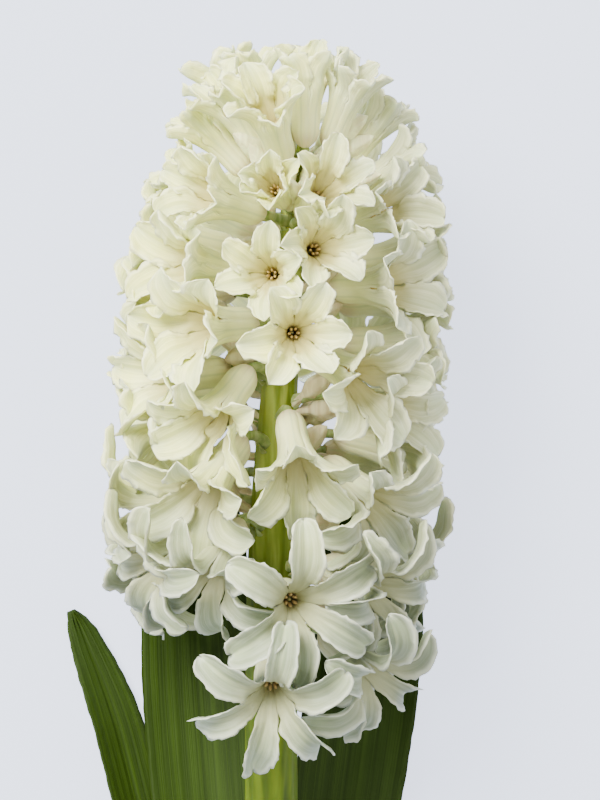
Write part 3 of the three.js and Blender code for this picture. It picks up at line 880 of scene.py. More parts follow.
def floret_tree(blade: Tree) -> Tree:
    """Builds the tree that makes a floret's closed petals, and an anther or a pistil on each loose point.

    Args:
        blade: the blade group.

    Returns:
        The tree.
    """
    finishes = {name: "Material" for name in ("Petal face", "Petal back", "Anther", "Pistil")}
    sketch, given = geometry_tree("Floret", {**BLADE_INPUTS, **finishes})
    part = sketch.attribute("part")
    inner = sketch.out("FunctionNodeCompare", {0: part, 1: 0.5}, operation="GREATER_THAN")
    split = sketch.add("GeometryNodeSeparateGeometry", {"Geometry": given["Geometry"], "Selection": inner})
    petals = sketch.real(place_blade(sketch, blade, split.outputs["Inverted"], given))
    petals = dress(sketch, petals, given["Petal face"])
    petals = dress(sketch, petals, given["Petal back"], sketch.attribute("back"))
    ball = sketch.out("GeometryNodeMeshUVSphere", {"Segments": 10, "Rings": 7, "Radius": 1.0})
    balls = sketch.real(sketch.copies(split.outputs["Selection"], ball))
    balls = dress(sketch, balls, given["Anther"])
    balls = dress(sketch, balls, given["Pistil"], sketch.math("SUBTRACT", part, float(Part.ANTHER.value)))
    return close_tree(sketch, {"Geometry": sketch.join(balls, petals)})


def leaf_tree(blade: Tree) -> Tree:
    """Builds the tree that makes a closed leaf from its sheet, with the blade group in it."""
    sketch, given = geometry_tree("Leaf", {**BLADE_INPUTS, "Finish": "Material"})
    return close_piece(sketch, place_blade(sketch, blade, given["Geometry"], given), given["Finish"])


def shoot_tree() -> Tree:
    """Builds the tree that sweeps a round, lengthwise ribbed section along lines that carry their radius.

    Returns:
        The tree.
    """
    inputs = {"Sides": "Int", "Ribs": "Float", "Rib depth": "Float", "Finish": "Material"}
    sketch, given = geometry_tree("Shoot", inputs)
    lines = sketch.out("GeometryNodeMeshToCurve", {"Mesh": given["Geometry"]})
    inputs = {"Resolution": given["Sides"], "Radius": 1.0}
    ring = sketch.out("GeometryNodeCurvePrimitiveCircle", inputs)
    place = sketch.out("GeometryNodeInputPosition")
    x, y = sketch.parts(place)
    wave = sketch.math("COSINE", sketch.times(sketch.math("ARCTAN2", y, x), given["Ribs"]))
    ring = sketch.moved(ring, sketch.scaled(place, sketch.times(wave, given["Rib depth"])))
    inputs = {"Curve": lines, "Profile Curve": ring, "Scale": sketch.attribute("girth"), "Fill Caps": True}
    swept = sketch.out("GeometryNodeSetShadeSmooth", {0: sketch.out("GeometryNodeCurveToMesh", inputs)})
    return close_piece(sketch, swept, given["Finish"])


def scatter_tree() -> Tree:
    """Builds the tree that sets a small pointed cone on each point, turned along the point's aim.

    Returns:
        The tree.
    """
    sketch, given = geometry_tree("Scales", {"Sides": "Int", "Tip": "Float", "Finish": "Material"})
    inputs = {"Vertices": given["Sides"], "Side Segments": 3, "Radius Top": given["Tip"], "Depth": 1.0}
    cone = sketch.out("GeometryNodeMeshCone", {**inputs, "Radius Bottom": 1.0})
    return close_piece(sketch, sketch.copies(given["Geometry"], cone), given["Finish"])


# Finishes

Colour = tuple[float, float, float]
EFFECTS: dict[str, Tree] = {}


def rgba(colour: Colour) -> tuple[float, float, float, float]:
    """Adds a full alpha to a colour."""
    return (*colour, 1.0)


def veins_group() -> Tree:
    """Builds the shader group of fine lines that run lengthwise.

    Returns:
        The group: Mask is the lines' strength from 0 to 1, and Height is for a bump.
    """
    inputs = {"Vector": "Vector", "Lines": "Float", "Stretch": "Float", "Waviness": "Float"}
    outputs = {"Mask": "Float", "Height": "Float"}
    sketch, given = new_tree("Lengthwise veins", "ShaderNodeTree", inputs, outputs)
    across, along = sketch.parts(given["Vector"])
    waver = sketch.out("ShaderNodeTexNoise", {"Vector": given["Vector"], "Scale": 3.0, "Detail": 2.0})
    waver = sketch.times(sketch.math("SUBTRACT", waver, 0.5), given["Waviness"])
    across = sketch.times(sketch.math("ADD", across, waver), given["Lines"])
    lines = sketch.out("ShaderNodeCombineXYZ", {0: across, 1: sketch.times(along, given["Stretch"])})
    noise = sketch.out("ShaderNodeTexNoise", {"Vector": lines, "Scale": 1.0, "Detail": 2.0, "Roughness": 0.6})
    return close_tree(sketch, {"Mask": sketch.step(noise, 0.35, 0.65), "Height": noise})


def blotch_group() -> Tree:
    """Builds the shader group of soft blotches in a piece's own space.

    Returns:
        The group, whose Mask goes from 0 to 1.
    """
    inputs = {"Size": "Float", "Detail": "Float"}
    sketch, given = new_tree("Soft blotches", "ShaderNodeTree", inputs, {"Mask": "Float"})
    inputs = {"Vector": sketch.place(), "Scale": sketch.math("DIVIDE", 1.0, given["Size"])}
    noise = sketch.out("ShaderNodeTexNoise", {**inputs, "Detail": given["Detail"]})
    return close_tree(sketch, {"Mask": sketch.step(noise, 0.3, 0.7)})


@dataclass(frozen=True, kw_only=True)
class Finish:
    """What every finish shares: its shader's plain values and the way it is made.

    Args:
        name: the material's name.
        roughness, specular: how rough the surface is, and how strongly it mirrors.
        subsurface: how much of the light goes in and comes out near by.
        soft_radius, soft_scale: how far red, green and blue light go in, and the scale of that in metres.
        bump, relief: the strength of the bump, and how deep its range is, in metres.
    """

    name: str
    roughness: float = 0.5
    specular: float = 0.5
    subsurface: float = 0.0
    soft_radius: Colour = (1.0, 0.2, 0.1)
    soft_scale: float = 0.05
    bump: float = 0.5
    relief: float = 0.0003

    def plain_values(self) -> dict[str, object]:
        """Gives the shader's values that are the same all over the surface.

        Returns:
            The values, by the names of the shader's inputs.
        """
        return {
            "Roughness": self.roughness, "Specular IOR Level": self.specular,
            "Subsurface Weight": self.subsurface, "Subsurface Radius": self.soft_radius,
            "Subsurface Scale": self.soft_scale,
        }

    def paint(self, sketch: Sketch) -> tuple[Socket, Socket]:
        """Adds the nodes of the finish's own look, and gives its colour and the height for its bump."""
        raise NotImplementedError

    def make(self) -> Material:
        """Builds the material: its shader, its own look and its bump.

        Returns:
            The material.
        """
        material = bpy.data.materials.new(self.name)
        material.use_nodes = True
        material.node_tree.nodes.clear()
        sketch = Sketch(material.node_tree)
        shader = sketch.add("ShaderNodeBsdfPrincipled", self.plain_values())
        sketch.add("ShaderNodeOutputMaterial", {"Surface": shader.outputs[0]})
        colour, height = self.paint(sketch)
        inputs = {"Height": height, "Strength": self.bump, "Distance": self.relief}
        sketch.feed(shader, {"Base Color": colour, "Normal": sketch.out("ShaderNodeBump", inputs)})
        return material

    def blotches(self, sketch: Sketch, size: float, detail: float = 3.0) -> Socket:
        """Adds blotches of a size in metres and gives their mask."""
        return sketch.group(EFFECTS["Soft blotches"], {"Size": size, "Detail": detail}).outputs[0]

    def veins(self, sketch: Sketch, uv: Socket, *form: float) -> tuple[Socket, Socket]:
        """Adds lines of a number, stretch and waviness along the UV map, and gives their mask and height."""
        inputs = {"Vector": uv, **dict(zip(("Lines", "Stretch", "Waviness"), form))}
        return tuple(sketch.group(EFFECTS["Lengthwise veins"], inputs).outputs)


@dataclass(frozen=True, kw_only=True)
class PetalFinish(Finish):
    """White petal tissue, which is creamier up the head and warm towards the tube, with painted shade in it:
    darker low on the head, on its sides, between the ribs and down the tube, with lighter rims as a painted
    highlight.

    A span says where a mask is 0 and where it is 1: in metres across or up the stem, or as shares of the
    petal. A share says how strongly its layer shows.

    Args:
        cream, white_in_painted_shade: the petals' colour at the head's top, and at its foot, which is
            darkened there as painted shade.
        tube_tint_and_painted_shade, low_tube_tint_and_painted_shade: the colour below the mouth at the head's
        top, and at its foot, partly a warm tint and partly painted shade in the throat and between the
        florets.
        deep, low_tube_foot_tint_and_painted_shade: the colour at the tube's foot, likewise partly a tint and
        partly painted shade.
        flush_end, deep_end: how far up a petal these reach, from 0 at the tube's foot to 1 at its tip.
        deep_fade: how softly the deep colour ends.
        midrib, midrib_width: the midrib's colour and half-width.
        valley_shade_share, valley_shade_span: the painted shade in the hollows between the ribs.
        tube_rib_share, tube_rib_fade: the midrib along the tube, and where it ends, from flush_end.
        rim, cream_rim: the rims' colour at the head's foot, and at its top, lighter than inside the petals as
            a painted highlight.
        vein_and_valley_shade, freckle: what the veins and the painted shade between the ribs, and small
            blotches, multiply the colour by.
        tip, warm: the colours of the tips, and of warm patches high on the head.
        outer, low_side_shade: the painted shade on the head's sides, at its top and at its foot.
    """

    cream: Colour
    white_in_painted_shade: Colour
    tube_tint_and_painted_shade: Colour
    deep: Colour
    low_tube_tint_and_painted_shade: Colour
    low_tube_foot_tint_and_painted_shade: Colour
    flush_end: float
    deep_end: float
    midrib: Colour
    midrib_share: float
    valley_shade_share: float
    tube_rib_share: float = 0.0
    deep_fade: float = 0.12
    midrib_width: float = 0.13
    valley_shade_span: Span = (0.4, -0.9)
    tube_rib_fade: Span = (0.05, -0.1)
    # Painted highlight: the rims are lighter than the petal inside them.
    rim: Colour = (0.82, 0.85, 0.76)
    cream_rim: Colour = (0.93, 0.94, 0.7)
    rim_highlight_share: float = 0.36
    rim_span: Span = (0.34, 0.5)
    rim_end_span: Span = (0.94, 1.0)
    vein_and_valley_shade: Colour = (0.64, 0.69, 0.55)
    vein_share: float = 0.5
    tip: Colour = (0.47, 0.55, 0.34)
    tip_share: float = 0.55
    tip_span: Span = (0.78, 1.0)
    tip_width_span: Span = (0.5, 0.12)
    warm: Colour = (0.95, 0.93, 0.33)
    warm_share: float = 0.72
    # Painted shade on the head's sides: greyer and darker on the right and low on the left.
    outer: Colour = (0.5, 0.51, 0.38)
    low_side_shade: Colour = (0.15, 0.175, 0.12)
    side_shade_share: float = 0.8
    height_span: Span = (-0.015, 0.04)
    right_shade_span: Span = (0.006, 0.03)
    low_left_shade_span: Span = (-0.014, -0.036)
    left_shade_span: Span = (-0.026, -0.046)
    left_shade_share: float = 0.4
    freckle: Colour = (0.74, 0.76, 0.56)
    freckle_share: float = 0.22
    specular: float = 0.35
    subsurface: float = 0.3
    soft_radius: Colour = (1.0, 0.85, 0.5)
    soft_scale: float = 0.0007

    def painted_side_shade_mask(self, sketch: Sketch, aside: Socket, height: Socket) -> Socket:
        """Gives the mask of the painted shade on the head's right side, its lower left and, more weakly, its
        left.

        Args:
            sketch: the material's sketch.
            aside: the place across the head.
            height: 0 at the head's foot and 1 at its top.

        Returns:
            The mask.
        """
        low_left_shade = sketch.times(sketch.step(aside, *self.low_left_shade_span), sketch.math("SUBTRACT", 1, height))
        left = sketch.times(sketch.step(aside, *self.left_shade_span), self.left_shade_share)
        left = sketch.math("MAXIMUM", low_left_shade, left)
        sides = sketch.math("MAXIMUM", sketch.step(aside, *self.right_shade_span), left)
        return sketch.times(sides, self.side_shade_share)

    def paint(self, sketch: Sketch) -> tuple[Socket, Socket]:
        """Gives the petals' colour and the height of their veins.

        Args:
            sketch: the material's sketch.

        Returns:
            The colour, and the height for the bump.
        """
        uv = sketch.uv()
        across, along = sketch.parts(uv)
        aside, up_stem = sketch.parts(sketch.place())
        height = sketch.step(up_stem, *self.height_span)

        def by_height(low: Colour, high: Colour) -> Socket:
            """Mixes the colour at the head's foot with the one at its top."""
            return sketch.mix(height, rgba(low), rgba(high))

        warmth = sketch.times(self.blotches(sketch, 0.011, 2.0), height, self.warm_share)
        # Painted shade: the petals are darker towards the head's foot.
        petal = sketch.mix(warmth, by_height(self.white_in_painted_shade, self.cream), rgba(self.warm))
        # Painted shade on the head's right side and its lower left.
        sides = self.painted_side_shade_mask(sketch, aside, height)
        petal = sketch.mix(sides, petal, by_height(self.low_side_shade, self.outer))
        centred = sketch.math("SUBTRACT", across, 0.5)
        off_mid = sketch.math("ABSOLUTE", centred)
        midrib = sketch.math("SUBTRACT", 1.0, sketch.step(off_mid, 0.0, self.midrib_width))
        petal = sketch.mix(sketch.times(midrib, self.midrib_share), petal, rgba(self.midrib))
        veins, vein_height = self.veins(sketch, uv, 24.0, 2.2, 0.05)
        petal = sketch.mix(sketch.times(veins, self.vein_share), petal, rgba(self.vein_and_valley_shade), mode="MULTIPLY")
        # Painted shade: the hollows between the blade's ribs are darkened.
        ribs = sketch.math("COSINE", sketch.times(centred, 2 * RIB_COUNT))
        painted_valley_shade = sketch.times(sketch.step(ribs, *self.valley_shade_span), self.valley_shade_share)
        petal = sketch.mix(painted_valley_shade, petal, rgba(self.vein_and_valley_shade), mode="MULTIPLY")
        tip_middle = sketch.step(off_mid, *self.tip_width_span)
        tip = sketch.times(sketch.step(along, *self.tip_span), tip_middle, self.tip_share)
        petal = sketch.mix(tip, petal, rgba(self.tip))
        # Painted highlight: the rims and the ends of the tips are lighter.
        rim_end = sketch.step(along, *self.rim_end_span)
        rim = sketch.math("MAXIMUM", sketch.step(off_mid, *self.rim_span), rim_end)
        petal = sketch.mix(sketch.times(rim, self.rim_highlight_share), petal, by_height(self.rim, self.cream_rim))
        # Partly a warm tint and partly painted shade: the colour darkens down the tube.
        below = sketch.step(along, self.flush_end, self.deep_end)
        petal = sketch.mix(below, petal, by_height(self.low_tube_tint_and_painted_shade, self.tube_tint_and_painted_shade))
        below = sketch.step(along, self.deep_end, self.deep_end - self.deep_fade)
        petal = sketch.mix(below, petal, by_height(self.low_tube_foot_tint_and_painted_shade, self.deep))
        on_tube = sketch.step(along, *(self.flush_end + fade for fade in self.tube_rib_fade))
        tube_rib = sketch.times(midrib, on_tube, self.tube_rib_share)
        petal = sketch.mix(tube_rib, petal, rgba(self.midrib))
        freckles = sketch.times(self.blotches(sketch, 0.005), self.freckle_share)
        return sketch.mix(freckles, petal, rgba(self.freckle), mode="MULTIPLY"), vein_height


@dataclass(frozen=True, kw_only=True)
class LeafFinish(Finish):
    """Dark green leaf with fine parallel veins and paler streaks.

    Args:
        dark, light: the leaf's colour, and its streaks'.
        streak_share: how strongly the fine streaks, and the broad ones, show.
        foot, foot_end: the colour at its foot, and how far up it reaches.
        blotch_share: how strongly dark blotches show.
    """

    name: str = "Leaf green"
    dark: Colour = (0.0098, 0.0205, 0.0016)
    light: Colour = (0.027, 0.052, 0.005)
    streak_share: float = 0.45
    foot: Colour = (0.2, 0.27, 0.08)
    foot_end: float = 0.3
    blotch_share: float = 0.3
    specular: float = 0.08
    relief: float = 0.00025

    def paint(self, sketch: Sketch) -> tuple[Socket, Socket]:
        """Gives the leaf's colour and the height of its veins.

        Args:
            sketch: the material's sketch.

        Returns:
            The colour, and the height for the bump.
        """
        uv = sketch.uv()
        along = sketch.parts(uv)[1]
        fine, fine_height = self.veins(sketch, uv, 110.0, 3.0, 0.004)
        broad = self.veins(sketch, uv, 14.0, 1.0, 0.02)[0]
        fine, broad = (sketch.times(mask, self.streak_share) for mask in (fine, broad))
        leaf = sketch.mix(sketch.math("ADD", fine, broad), rgba(self.dark), rgba(self.light))
        leaf = sketch.mix(sketch.step(along, self.foot_end, 0.0), leaf, rgba(self.foot))
        dark = sketch.times(self.blotches(sketch, 0.02), self.blotch_share)
        return sketch.mix(dark, leaf, rgba(self.dark)), fine_height


@dataclass(frozen=True, kw_only=True)
class ShootFinish(Finish):
    """Juicy green stem or stalk, with paler lengthwise streaks.

    Args:
        dark, light: its colour, and its streaks'.
        streak_width, streak_length: the streaks' width in metres, and how many times as long they are.
        blotch_share: how strongly dark blotches show.
        upper_tint_and_painted_light: what the colour is multiplied by high up the stem; on the stem this is
            partly a yellower tint and partly painted light where the florets shade it.
        turns_at: how far up it starts to turn into that, and how far up it has turned, in metres.
    """

    dark: Colour
    light: Colour
    streak_width: float = 0.0024
    streak_length: float = 22
    blotch_share: float = 0.35
    upper_tint_and_painted_light: Colour = (1.0, 1.0, 1.0)
    turns_at: Span = (-0.02, 0.02)
    specular: float = 0.15
    subsurface: float = 0.15
    soft_scale: float = 0.0015
    bump: float = 0.4

    def paint(self, sketch: Sketch) -> tuple[Socket, Socket]:
        """Gives the shoot's colour and the height of its streaks.

        Args:
            sketch: the material's sketch.

        Returns:
            The colour, and the height for the bump.
        """
        place = sketch.place()
        fine = 1 / self.streak_width
        inputs = {"Vector": place, "Scale": (fine, fine / self.streak_length, fine)}
        inputs = {"Vector": sketch.out("ShaderNodeMapping", inputs), "Scale": 1.0, "Detail": 3.0}
        streaks = sketch.out("ShaderNodeTexNoise", inputs)
        shoot = sketch.mix(sketch.step(streaks, 0.34, 0.66), rgba(self.dark), rgba(self.light))
        dark = sketch.times(self.blotches(sketch, 0.009), self.blotch_share)
        shoot = sketch.mix(dark, shoot, rgba(self.dark))
        # Partly a yellower tint and partly painted light: the colour is brighter high up.
        tinted_and_lit_colour = sketch.mix(1.0, shoot, rgba(self.upper_tint_and_painted_light), mode="MULTIPLY")
        turned = sketch.step(sketch.parts(place)[1], *self.turns_at)
        return sketch.mix(turned, shoot, tinted_and_lit_colour), streaks


@dataclass(frozen=True, kw_only=True)
class PlainFinish(Finish):
    """A blotchy finish for small pieces and for the table.

    Args:
        colour, other: its colour, and its blotches'.
        size: the blotches' size in metres.
        glow, glow_colour: how strongly it is lit from behind, and in what colour.
    """

    colour: Colour
    other: Colour
    size: float
    glow: float = 0.0
    glow_colour: Colour = (0.765, 0.825, 1.0)
    roughness: float = 0.6
    bump: float = 0.3
    relief: float = 0.0001

    def plain_values(self) -> dict[str, object]:
        """Gives the shader's plain values, the light from behind among them."""
        glow = {"Emission Color": rgba(self.glow_colour), "Emission Strength": self.glow}
        return {**super().plain_values(), **glow}

    def paint(self, sketch: Sketch) -> tuple[Socket, Socket]:
        """Gives the blotchy colour and the blotches' height."""
        blotches = self.blotches(sketch, self.size)
        return sketch.mix(blotches, rgba(self.colour), rgba(self.other)), blotches


# Painted shade: the face's colour at the head's foot is darkened.
PETAL_FACE = PetalFinish(
    name="Petal face", cream=(0.93, 0.955, 0.54), white_in_painted_shade=(0.31, 0.355, 0.25), tube_tint_and_painted_shade=(0.54, 0.49, 0.2),
    deep=(0.45, 0.33, 0.09), low_tube_tint_and_painted_shade=(0.34, 0.35, 0.2), low_tube_foot_tint_and_painted_shade=(0.34, 0.32, 0.13), flush_end=0.76,
    deep_end=0.37, midrib=(0.54, 0.58, 0.36), midrib_share=0.3, valley_shade_share=0.32,
)
# Its tube colours are partly the tube's tint and partly painted shade where the tubes lie between the
# florets.
PETAL_BACK = replace(
    PETAL_FACE, name="Petal back", cream=(0.93, 0.955, 0.55), tube_tint_and_painted_shade=(0.85, 0.85, 0.47),
    deep=(0.72, 0.63, 0.42), low_tube_tint_and_painted_shade=(0.4, 0.41, 0.25), low_tube_foot_tint_and_painted_shade=(0.44, 0.42, 0.23), flush_end=0.5,
    deep_end=0.16, midrib=(0.54, 0.6, 0.34), midrib_share=0.34, valley_shade_share=0.22, tube_rib_share=0.5,
)
BUD_CREAM = ShootFinish(
    name="Bud cream", dark=(0.5, 0.42, 0.25), light=(0.72, 0.66, 0.42), streak_width=0.0016,
    upper_tint_and_painted_light=(1.28, 1.45, 1.45), turns_at=(0.06, 0.085),
)
# Its colour high up is brighter and yellower, partly a tint and partly painted light where the florets shade
# the stem.
STEM_GREEN = ShootFinish(
    name="Stem green", dark=(0.03, 0.052, 0.0005), light=(0.08, 0.12, 0.004), upper_tint_and_painted_light=(3.8, 3.0, 16.0)
)
STALK_GREEN = ShootFinish(
    name="Stalk green", dark=(0.2, 0.26, 0.08), light=(0.36, 0.41, 0.18), streak_width=0.0012
)
LEAF_GREEN = LeafFinish()
ANTHER_BROWN = PlainFinish(name="Anther", colour=(0.4, 0.27, 0.09), other=(0.54, 0.4, 0.16), size=0.0006)
PISTIL_GREEN = PlainFinish(name="Pistil", colour=(0.3, 0.3, 0.1), other=(0.4, 0.38, 0.16), size=0.001)
PLATE_BROWN = PlainFinish(
    name="Root plate", colour=(0.42, 0.3, 0.16), other=(0.24, 0.15, 0.07), size=0.004, roughness=0.8,
    relief=0.0008,
)
TABLE_GREY = PlainFinish(
    name="Pale table", colour=(0.2, 0.225, 0.3), other=(0.19, 0.215, 0.29), size=0.4, roughness=0.9,
    relief=0.0, glow=2.18,
)


# The plant's pieces


def make_mesh(name: str, points: Array, attributes: dict, edges: Numbers = (), faces: Numbers = ()) -> Mesh:
    """Makes a mesh with point attributes.

    Args:
        name: the mesh's name.
        points: its vertices in metres.
        attributes: values of each vertex, by name, single or as vectors.
        edges: its loose edges, by vertex number.
        faces: its quads, by vertex number.

    Returns:
        The mesh.
    """
    mesh = bpy.data.meshes.new(name)
    mesh.from_pydata(points.tolist(), list(edges), np.array(faces).tolist())
    for key, values in attributes.items():
        kind, slot = ("FLOAT", "value") if values.ndim == 1 else ("FLOAT_VECTOR", "vector")
        mesh.attributes.new(key, kind, "POINT").data.foreach_set(slot, values.reshape(-1))
    mesh.update()
    return mesh


def sheet_mesh(name: str, points: Array, faces: Array, along: Array, attributes: dict) -> Mesh:
    """Makes a sheet's mesh, with a UV map of across and along.

    Args:
        name: the mesh's name.
        points: its vertices in metres.
        faces: its quads, by vertex number.
        along: how far along the sheet each vertex is, from 0 to 1.
        attributes: values of each vertex, by name, across from -1 to 1 among them.

    Returns:
        The mesh.
    """
    mesh = make_mesh(name, points, attributes, faces=faces)
    uv = np.stack([attributes["across"][:len(along)] * 0.5 + 0.5, along], 1)
    mesh.uv_layers.new(name="UVMap").data.foreach_set("uv", uv[faces.reshape(-1)].reshape(-1))
    return mesh


def line_mesh(name: str, lines: list[Array], radii: list[Array]) -> Mesh:
    """Makes a mesh of open lines that carry their radius.

    Args:
        name: the mesh's name.
        lines: the lines' points in the plant's frame.
        radii: their radii in millimetres.

    Returns:
        The mesh.
    """
    edges, start = [], 0
    for line in lines:
        edges += [(start + i, start + i + 1) for i in range(len(line) - 1)]
        start += len(line)
    points, girths = LYING.place(np.concatenate(lines)), np.concatenate(radii) * MM
    return make_mesh(name, points, {"girth": girths}, edges)


def point_mesh(name: str, places: Array, aims: Array, girths: Array) -> Mesh:
    """Makes a mesh of loose points, with aims in the plant's frame and girths in millimetres."""
    return make_mesh(name, LYING.place(places), {"aim": LYING.turn(aims), "girth": girths * MM})


def grid_faces(rows: int, columns: int, start: int = 0) -> Array:
    """Gives the quads of a grid of vertices, which face the side where rows go up and columns go right."""
    corner = (np.arange(rows - 1)[:, None] * columns + np.arange(columns - 1)[None]).reshape(-1) + start
    return np.stack([corner, corner + 1, corner + columns + 1, corner + columns], 1)


def rim_shares(rows: int, columns: int, last_inside: float = 0.6) -> Array:
    """Gives 0 on a sheet's border and up to 1 inside it, for its thickness.

    Args:
        rows: the number of vertex rows.
        columns: the number of vertex columns.
        last_inside: the factor of the last row inside the border.

    Returns:
        One share for each vertex.
    """
    to_rim = 1 - np.abs(np.linspace(-1, 1, columns))[None]
    share = np.repeat(np.clip(to_rim / 0.5, 0, 1), rows, 0)
    share[[0, -1]] = 0
    share[-2] *= last_inside
    return share.reshape(-1)


# What each lobe's own bend is drawn from, in this order: a turn in radians, a factor of its width, the
# roundness of its tip (0.4 is blunt, and 0.8 is pointed), a sideways sway in millimetres, a share of its
# half-width, a slope, and two lengths in millimetres.
LOBE_RANGES = {
    "twist": (-0.42, 0.42), "pinch": (0.93, 1.1), "bluntness": (0.42, 0.62), "sway": (-1.7, 1.7),
    "cup": (-0.1, 0.18), "slant": (-0.2, 0.2), "stretch": (-0.5, 1.6), "hook": (-0.9, 1.1),
}
# Each line is one of the slow waves along a lobe's edge: its fewest and most cycles, and its strength.
EDGE_WAVES = ((0.9, 1.7, 0.55), (2.2, 3.2, 0.45), (3.6, 4.8, 0.3))
# A tube's radii in millimetres at shares of its length, up to its mouth: its foot is swollen.
TUBE_SHAPE = ((0, 0.12, 0.27, 0.5, 0.75), (1.3, 2.7, 3.3, 3.15, 3.45))


@dataclass
class Florets:
    """The head's florets, one piece each.

    Args:
        head: the settled head.
        tube_rows: at which shares of the tube its rows are.
        mouth_slit: how much of each petal's share of the mouth is open towards its neighbours.
        side_pull: how far the mouths at the head's sides sit back towards the stem, in millimetres.
        side_from, side_heights: how far to the side, and how high up, that starts and is whole.
        top_heights: between which heights the topmost florets' slimmer lobes set in.
        lining_depths: how far the lining stands inside each row of the tube, in millimetres.
        lip_depths: how far it stands inside the first rows of a lobe, in its middle.
        mouth_share: the mouth's place on the UV map's length.
        whorl_step: how far inner and outer lobes stand apart, in millimetres.
        tip_hold: how free the last two rows of a lobe are.
        anther_ring: how far the anthers stand from the tube's axis, in millimetres.
        anther_climb, pistil_climb: how far up a shut and an open tube they stand, and how far the pistil.
        anther_size, pistil_size: their thickness and length.
    """

    head: Head
    tube_rows: tuple[float, ...] = (0, 0.12, 0.27, 0.45, 0.65, 0.84)
    mouth_slit: float = 0.02
    side_pull: float = 2.4
    side_from: Span = (0.45, 0.9)
    side_heights: Span = (118, 132)
    top_heights: Span = (170, 190)
    lining_depths: tuple[float, ...] = (0.3, 0.9, 1.4, 1.75, 1.7, 1.05)
    lip_depths: tuple[float, ...] = (0.5, 0.25, 0.1)
    lobe_rows: int = 12
    columns: int = 9
    mouth_share: float = 0.45
    whorl_step: float = 0.42
    tip_hold: Span = (0.7, 0.15)
    anther_ring: float = 1.0
    anther_climb: Span = (0.82, 0.56)
    anther_size: Span = (0.36, 1.0)
    pistil_climb: float = 0.45
    pistil_size: Span = (0.5, 2.2)
    seed: int = 11

    def tube_radius(self, share: float) -> float:
        """Gives a tube's radius at size 1 and at a share of its length."""
        marks, radii = TUBE_SHAPE
        return float(np.interp(share, (*marks, 1), (*radii, self.head.form.mouth_radius)))

    def opened(self) -> Array:
        """Gives how far each lobe has opened, from 0 to 1."""
        form = self.head.form
        return np.clip((self.head.flare - form.shut_flare) / (form.open_flare - form.shut_flare), 0, 1)

    def topmost(self) -> Array:
        """Gives how near each floret is to the head's top, from 0 to 1, as a column."""
        return smoothstep(self.head.height, *self.top_heights)[:, None]

    def pulls(self) -> Array:
        """Gives how far the mouths at the head's sides sit back, as vectors: floret, coordinate.

        Returns:
            The offsets, in millimetres.
        """
        along = self.head.frames()[0]
        share = smoothstep(np.abs(along[:, 0]), *self.side_from)
        share *= smoothstep(self.head.height, *self.side_heights)
        return -along * (self.side_pull * share)[:, None]

    def half_widths(self, share: float, bluntness: Array) -> Array:
        """Gives the lobes' half-widths in millimetres at a share of their length.

        Args:
            share: the share of the lobes' length.
            bluntness: how round each lobe's tip is.

        Returns:
            One half-width for each lobe.
        """
        form, head = self.head.form, self.head
        broad = head.width * lerp(1.1, 0.85, self.opened()) * lerp(1, 0.74, self.topmost())
        if share < form.widest_at:
            root = form.mouth_radius * 0.47 * head.size[:, None]
            return lerp(root, broad, smoothstep(share, 0, form.widest_at))
        beyond = (share - form.widest_at) / (1 - form.widest_at)
        return broad * (max(0.0, 1 - beyond**2.1) ** bluntness + 0.03 * beyond)

    def fan(self, slit: float = 0) -> tuple[Array, Array]:
        """Works out which part of the tube each petal takes.

        Args:
            slit: how much of that part is left open on both sides.

        Returns:
            The angles of a petal's columns from its middle, and their directions out from the tube's axis:
            floret, lobe, column, and coordinate for the directions.
        """
        head, v = self.head, np.linspace(-1, 1, self.columns) * (1 - slit)
        after, before = np.roll(head.angle, -1, 1), np.roll(head.angle, 1, 1)
        after[:, -1] += 2 * math.pi
        before[:, 0] -= 2 * math.pi
        right, left = (after - head.angle) / 2, (head.angle - before) / 2
        fan = np.where(v < 0, left[..., None] * v, right[..., None] * v)
        turned = head.lobe_outward((head.angle[..., None] + fan).reshape(len(head.size), -1))
        return fan, turned.reshape(*fan.shape, 3)

    def linings(self) -> Array:
        """Works out how far the tubes' inner faces stand inside their sheets, so that the throats are narrow.

        Returns:
            The offsets in the plant's frame: floret, lobe, row, column, coordinate.
        """
        v = np.linspace(-1, 1, self.columns)
        rows = [np.full(self.columns, depth) for depth in self.lining_depths]
        rows += [depth * (1 - v**2) for depth in self.lip_depths]
        rows += [np.zeros(self.columns)] * (self.lobe_rows + 1 - len(self.lip_depths))
        depths = np.stack(rows) * self.head.size[:, None, None, None]
        return -self.fan()[1][:, :, None] * depths[..., None]

    def edge_waves(self, draw: np.random.Generator) -> Array:
        """Draws slow waves along both edges of every lobe.

        Args:
            draw: the florets' own draws.

        Returns:
            The waves from about -1 to 1: row of the lobe, floret, lobe, column.
        """
        v = np.linspace(-1, 1, self.columns)
        share = np.linspace(0, 1, self.lobe_rows + 1)[:, None, None, None]
        shape = (*self.head.angle.shape, 2)
        waves = np.zeros((self.lobe_rows + 1, *shape))
        for low, high, strength in EDGE_WAVES:
            cycles, phase = draw.uniform(low, high, shape), draw.uniform(0, 1, shape)
            waves += strength * np.sin(2 * math.pi * (cycles * share + phase))
        return np.where(v < 0, waves[..., :1], waves[..., 1:])

    def bends(self, draw: np.random.Generator) -> dict[str, Array]:
        """Draws how each lobe is bent, and fits it to how far the lobe has opened.

        Args:
            draw: the florets' own draws.

        Returns:
            The values of LOBE_RANGES, by name: floret, lobe.
        """
        opened, topmost = self.opened(), self.topmost()
        bend = {name: draw.uniform(*limits, opened.shape) for name, limits in LOBE_RANGES.items()}
        bend["twist"] *= lerp(0.8, 1.2, opened)
        bend["bluntness"] *= lerp(1, 0.72, opened)
        bend["cup"] = lerp(0.24, 0.62, opened) + bend["cup"] + 0.3 * topmost
        bend["stretch"] *= lerp(1, 0.2, topmost)
        bend["hook"] = lerp(-0.6, 1.7, opened) + bend["hook"]
        return bend

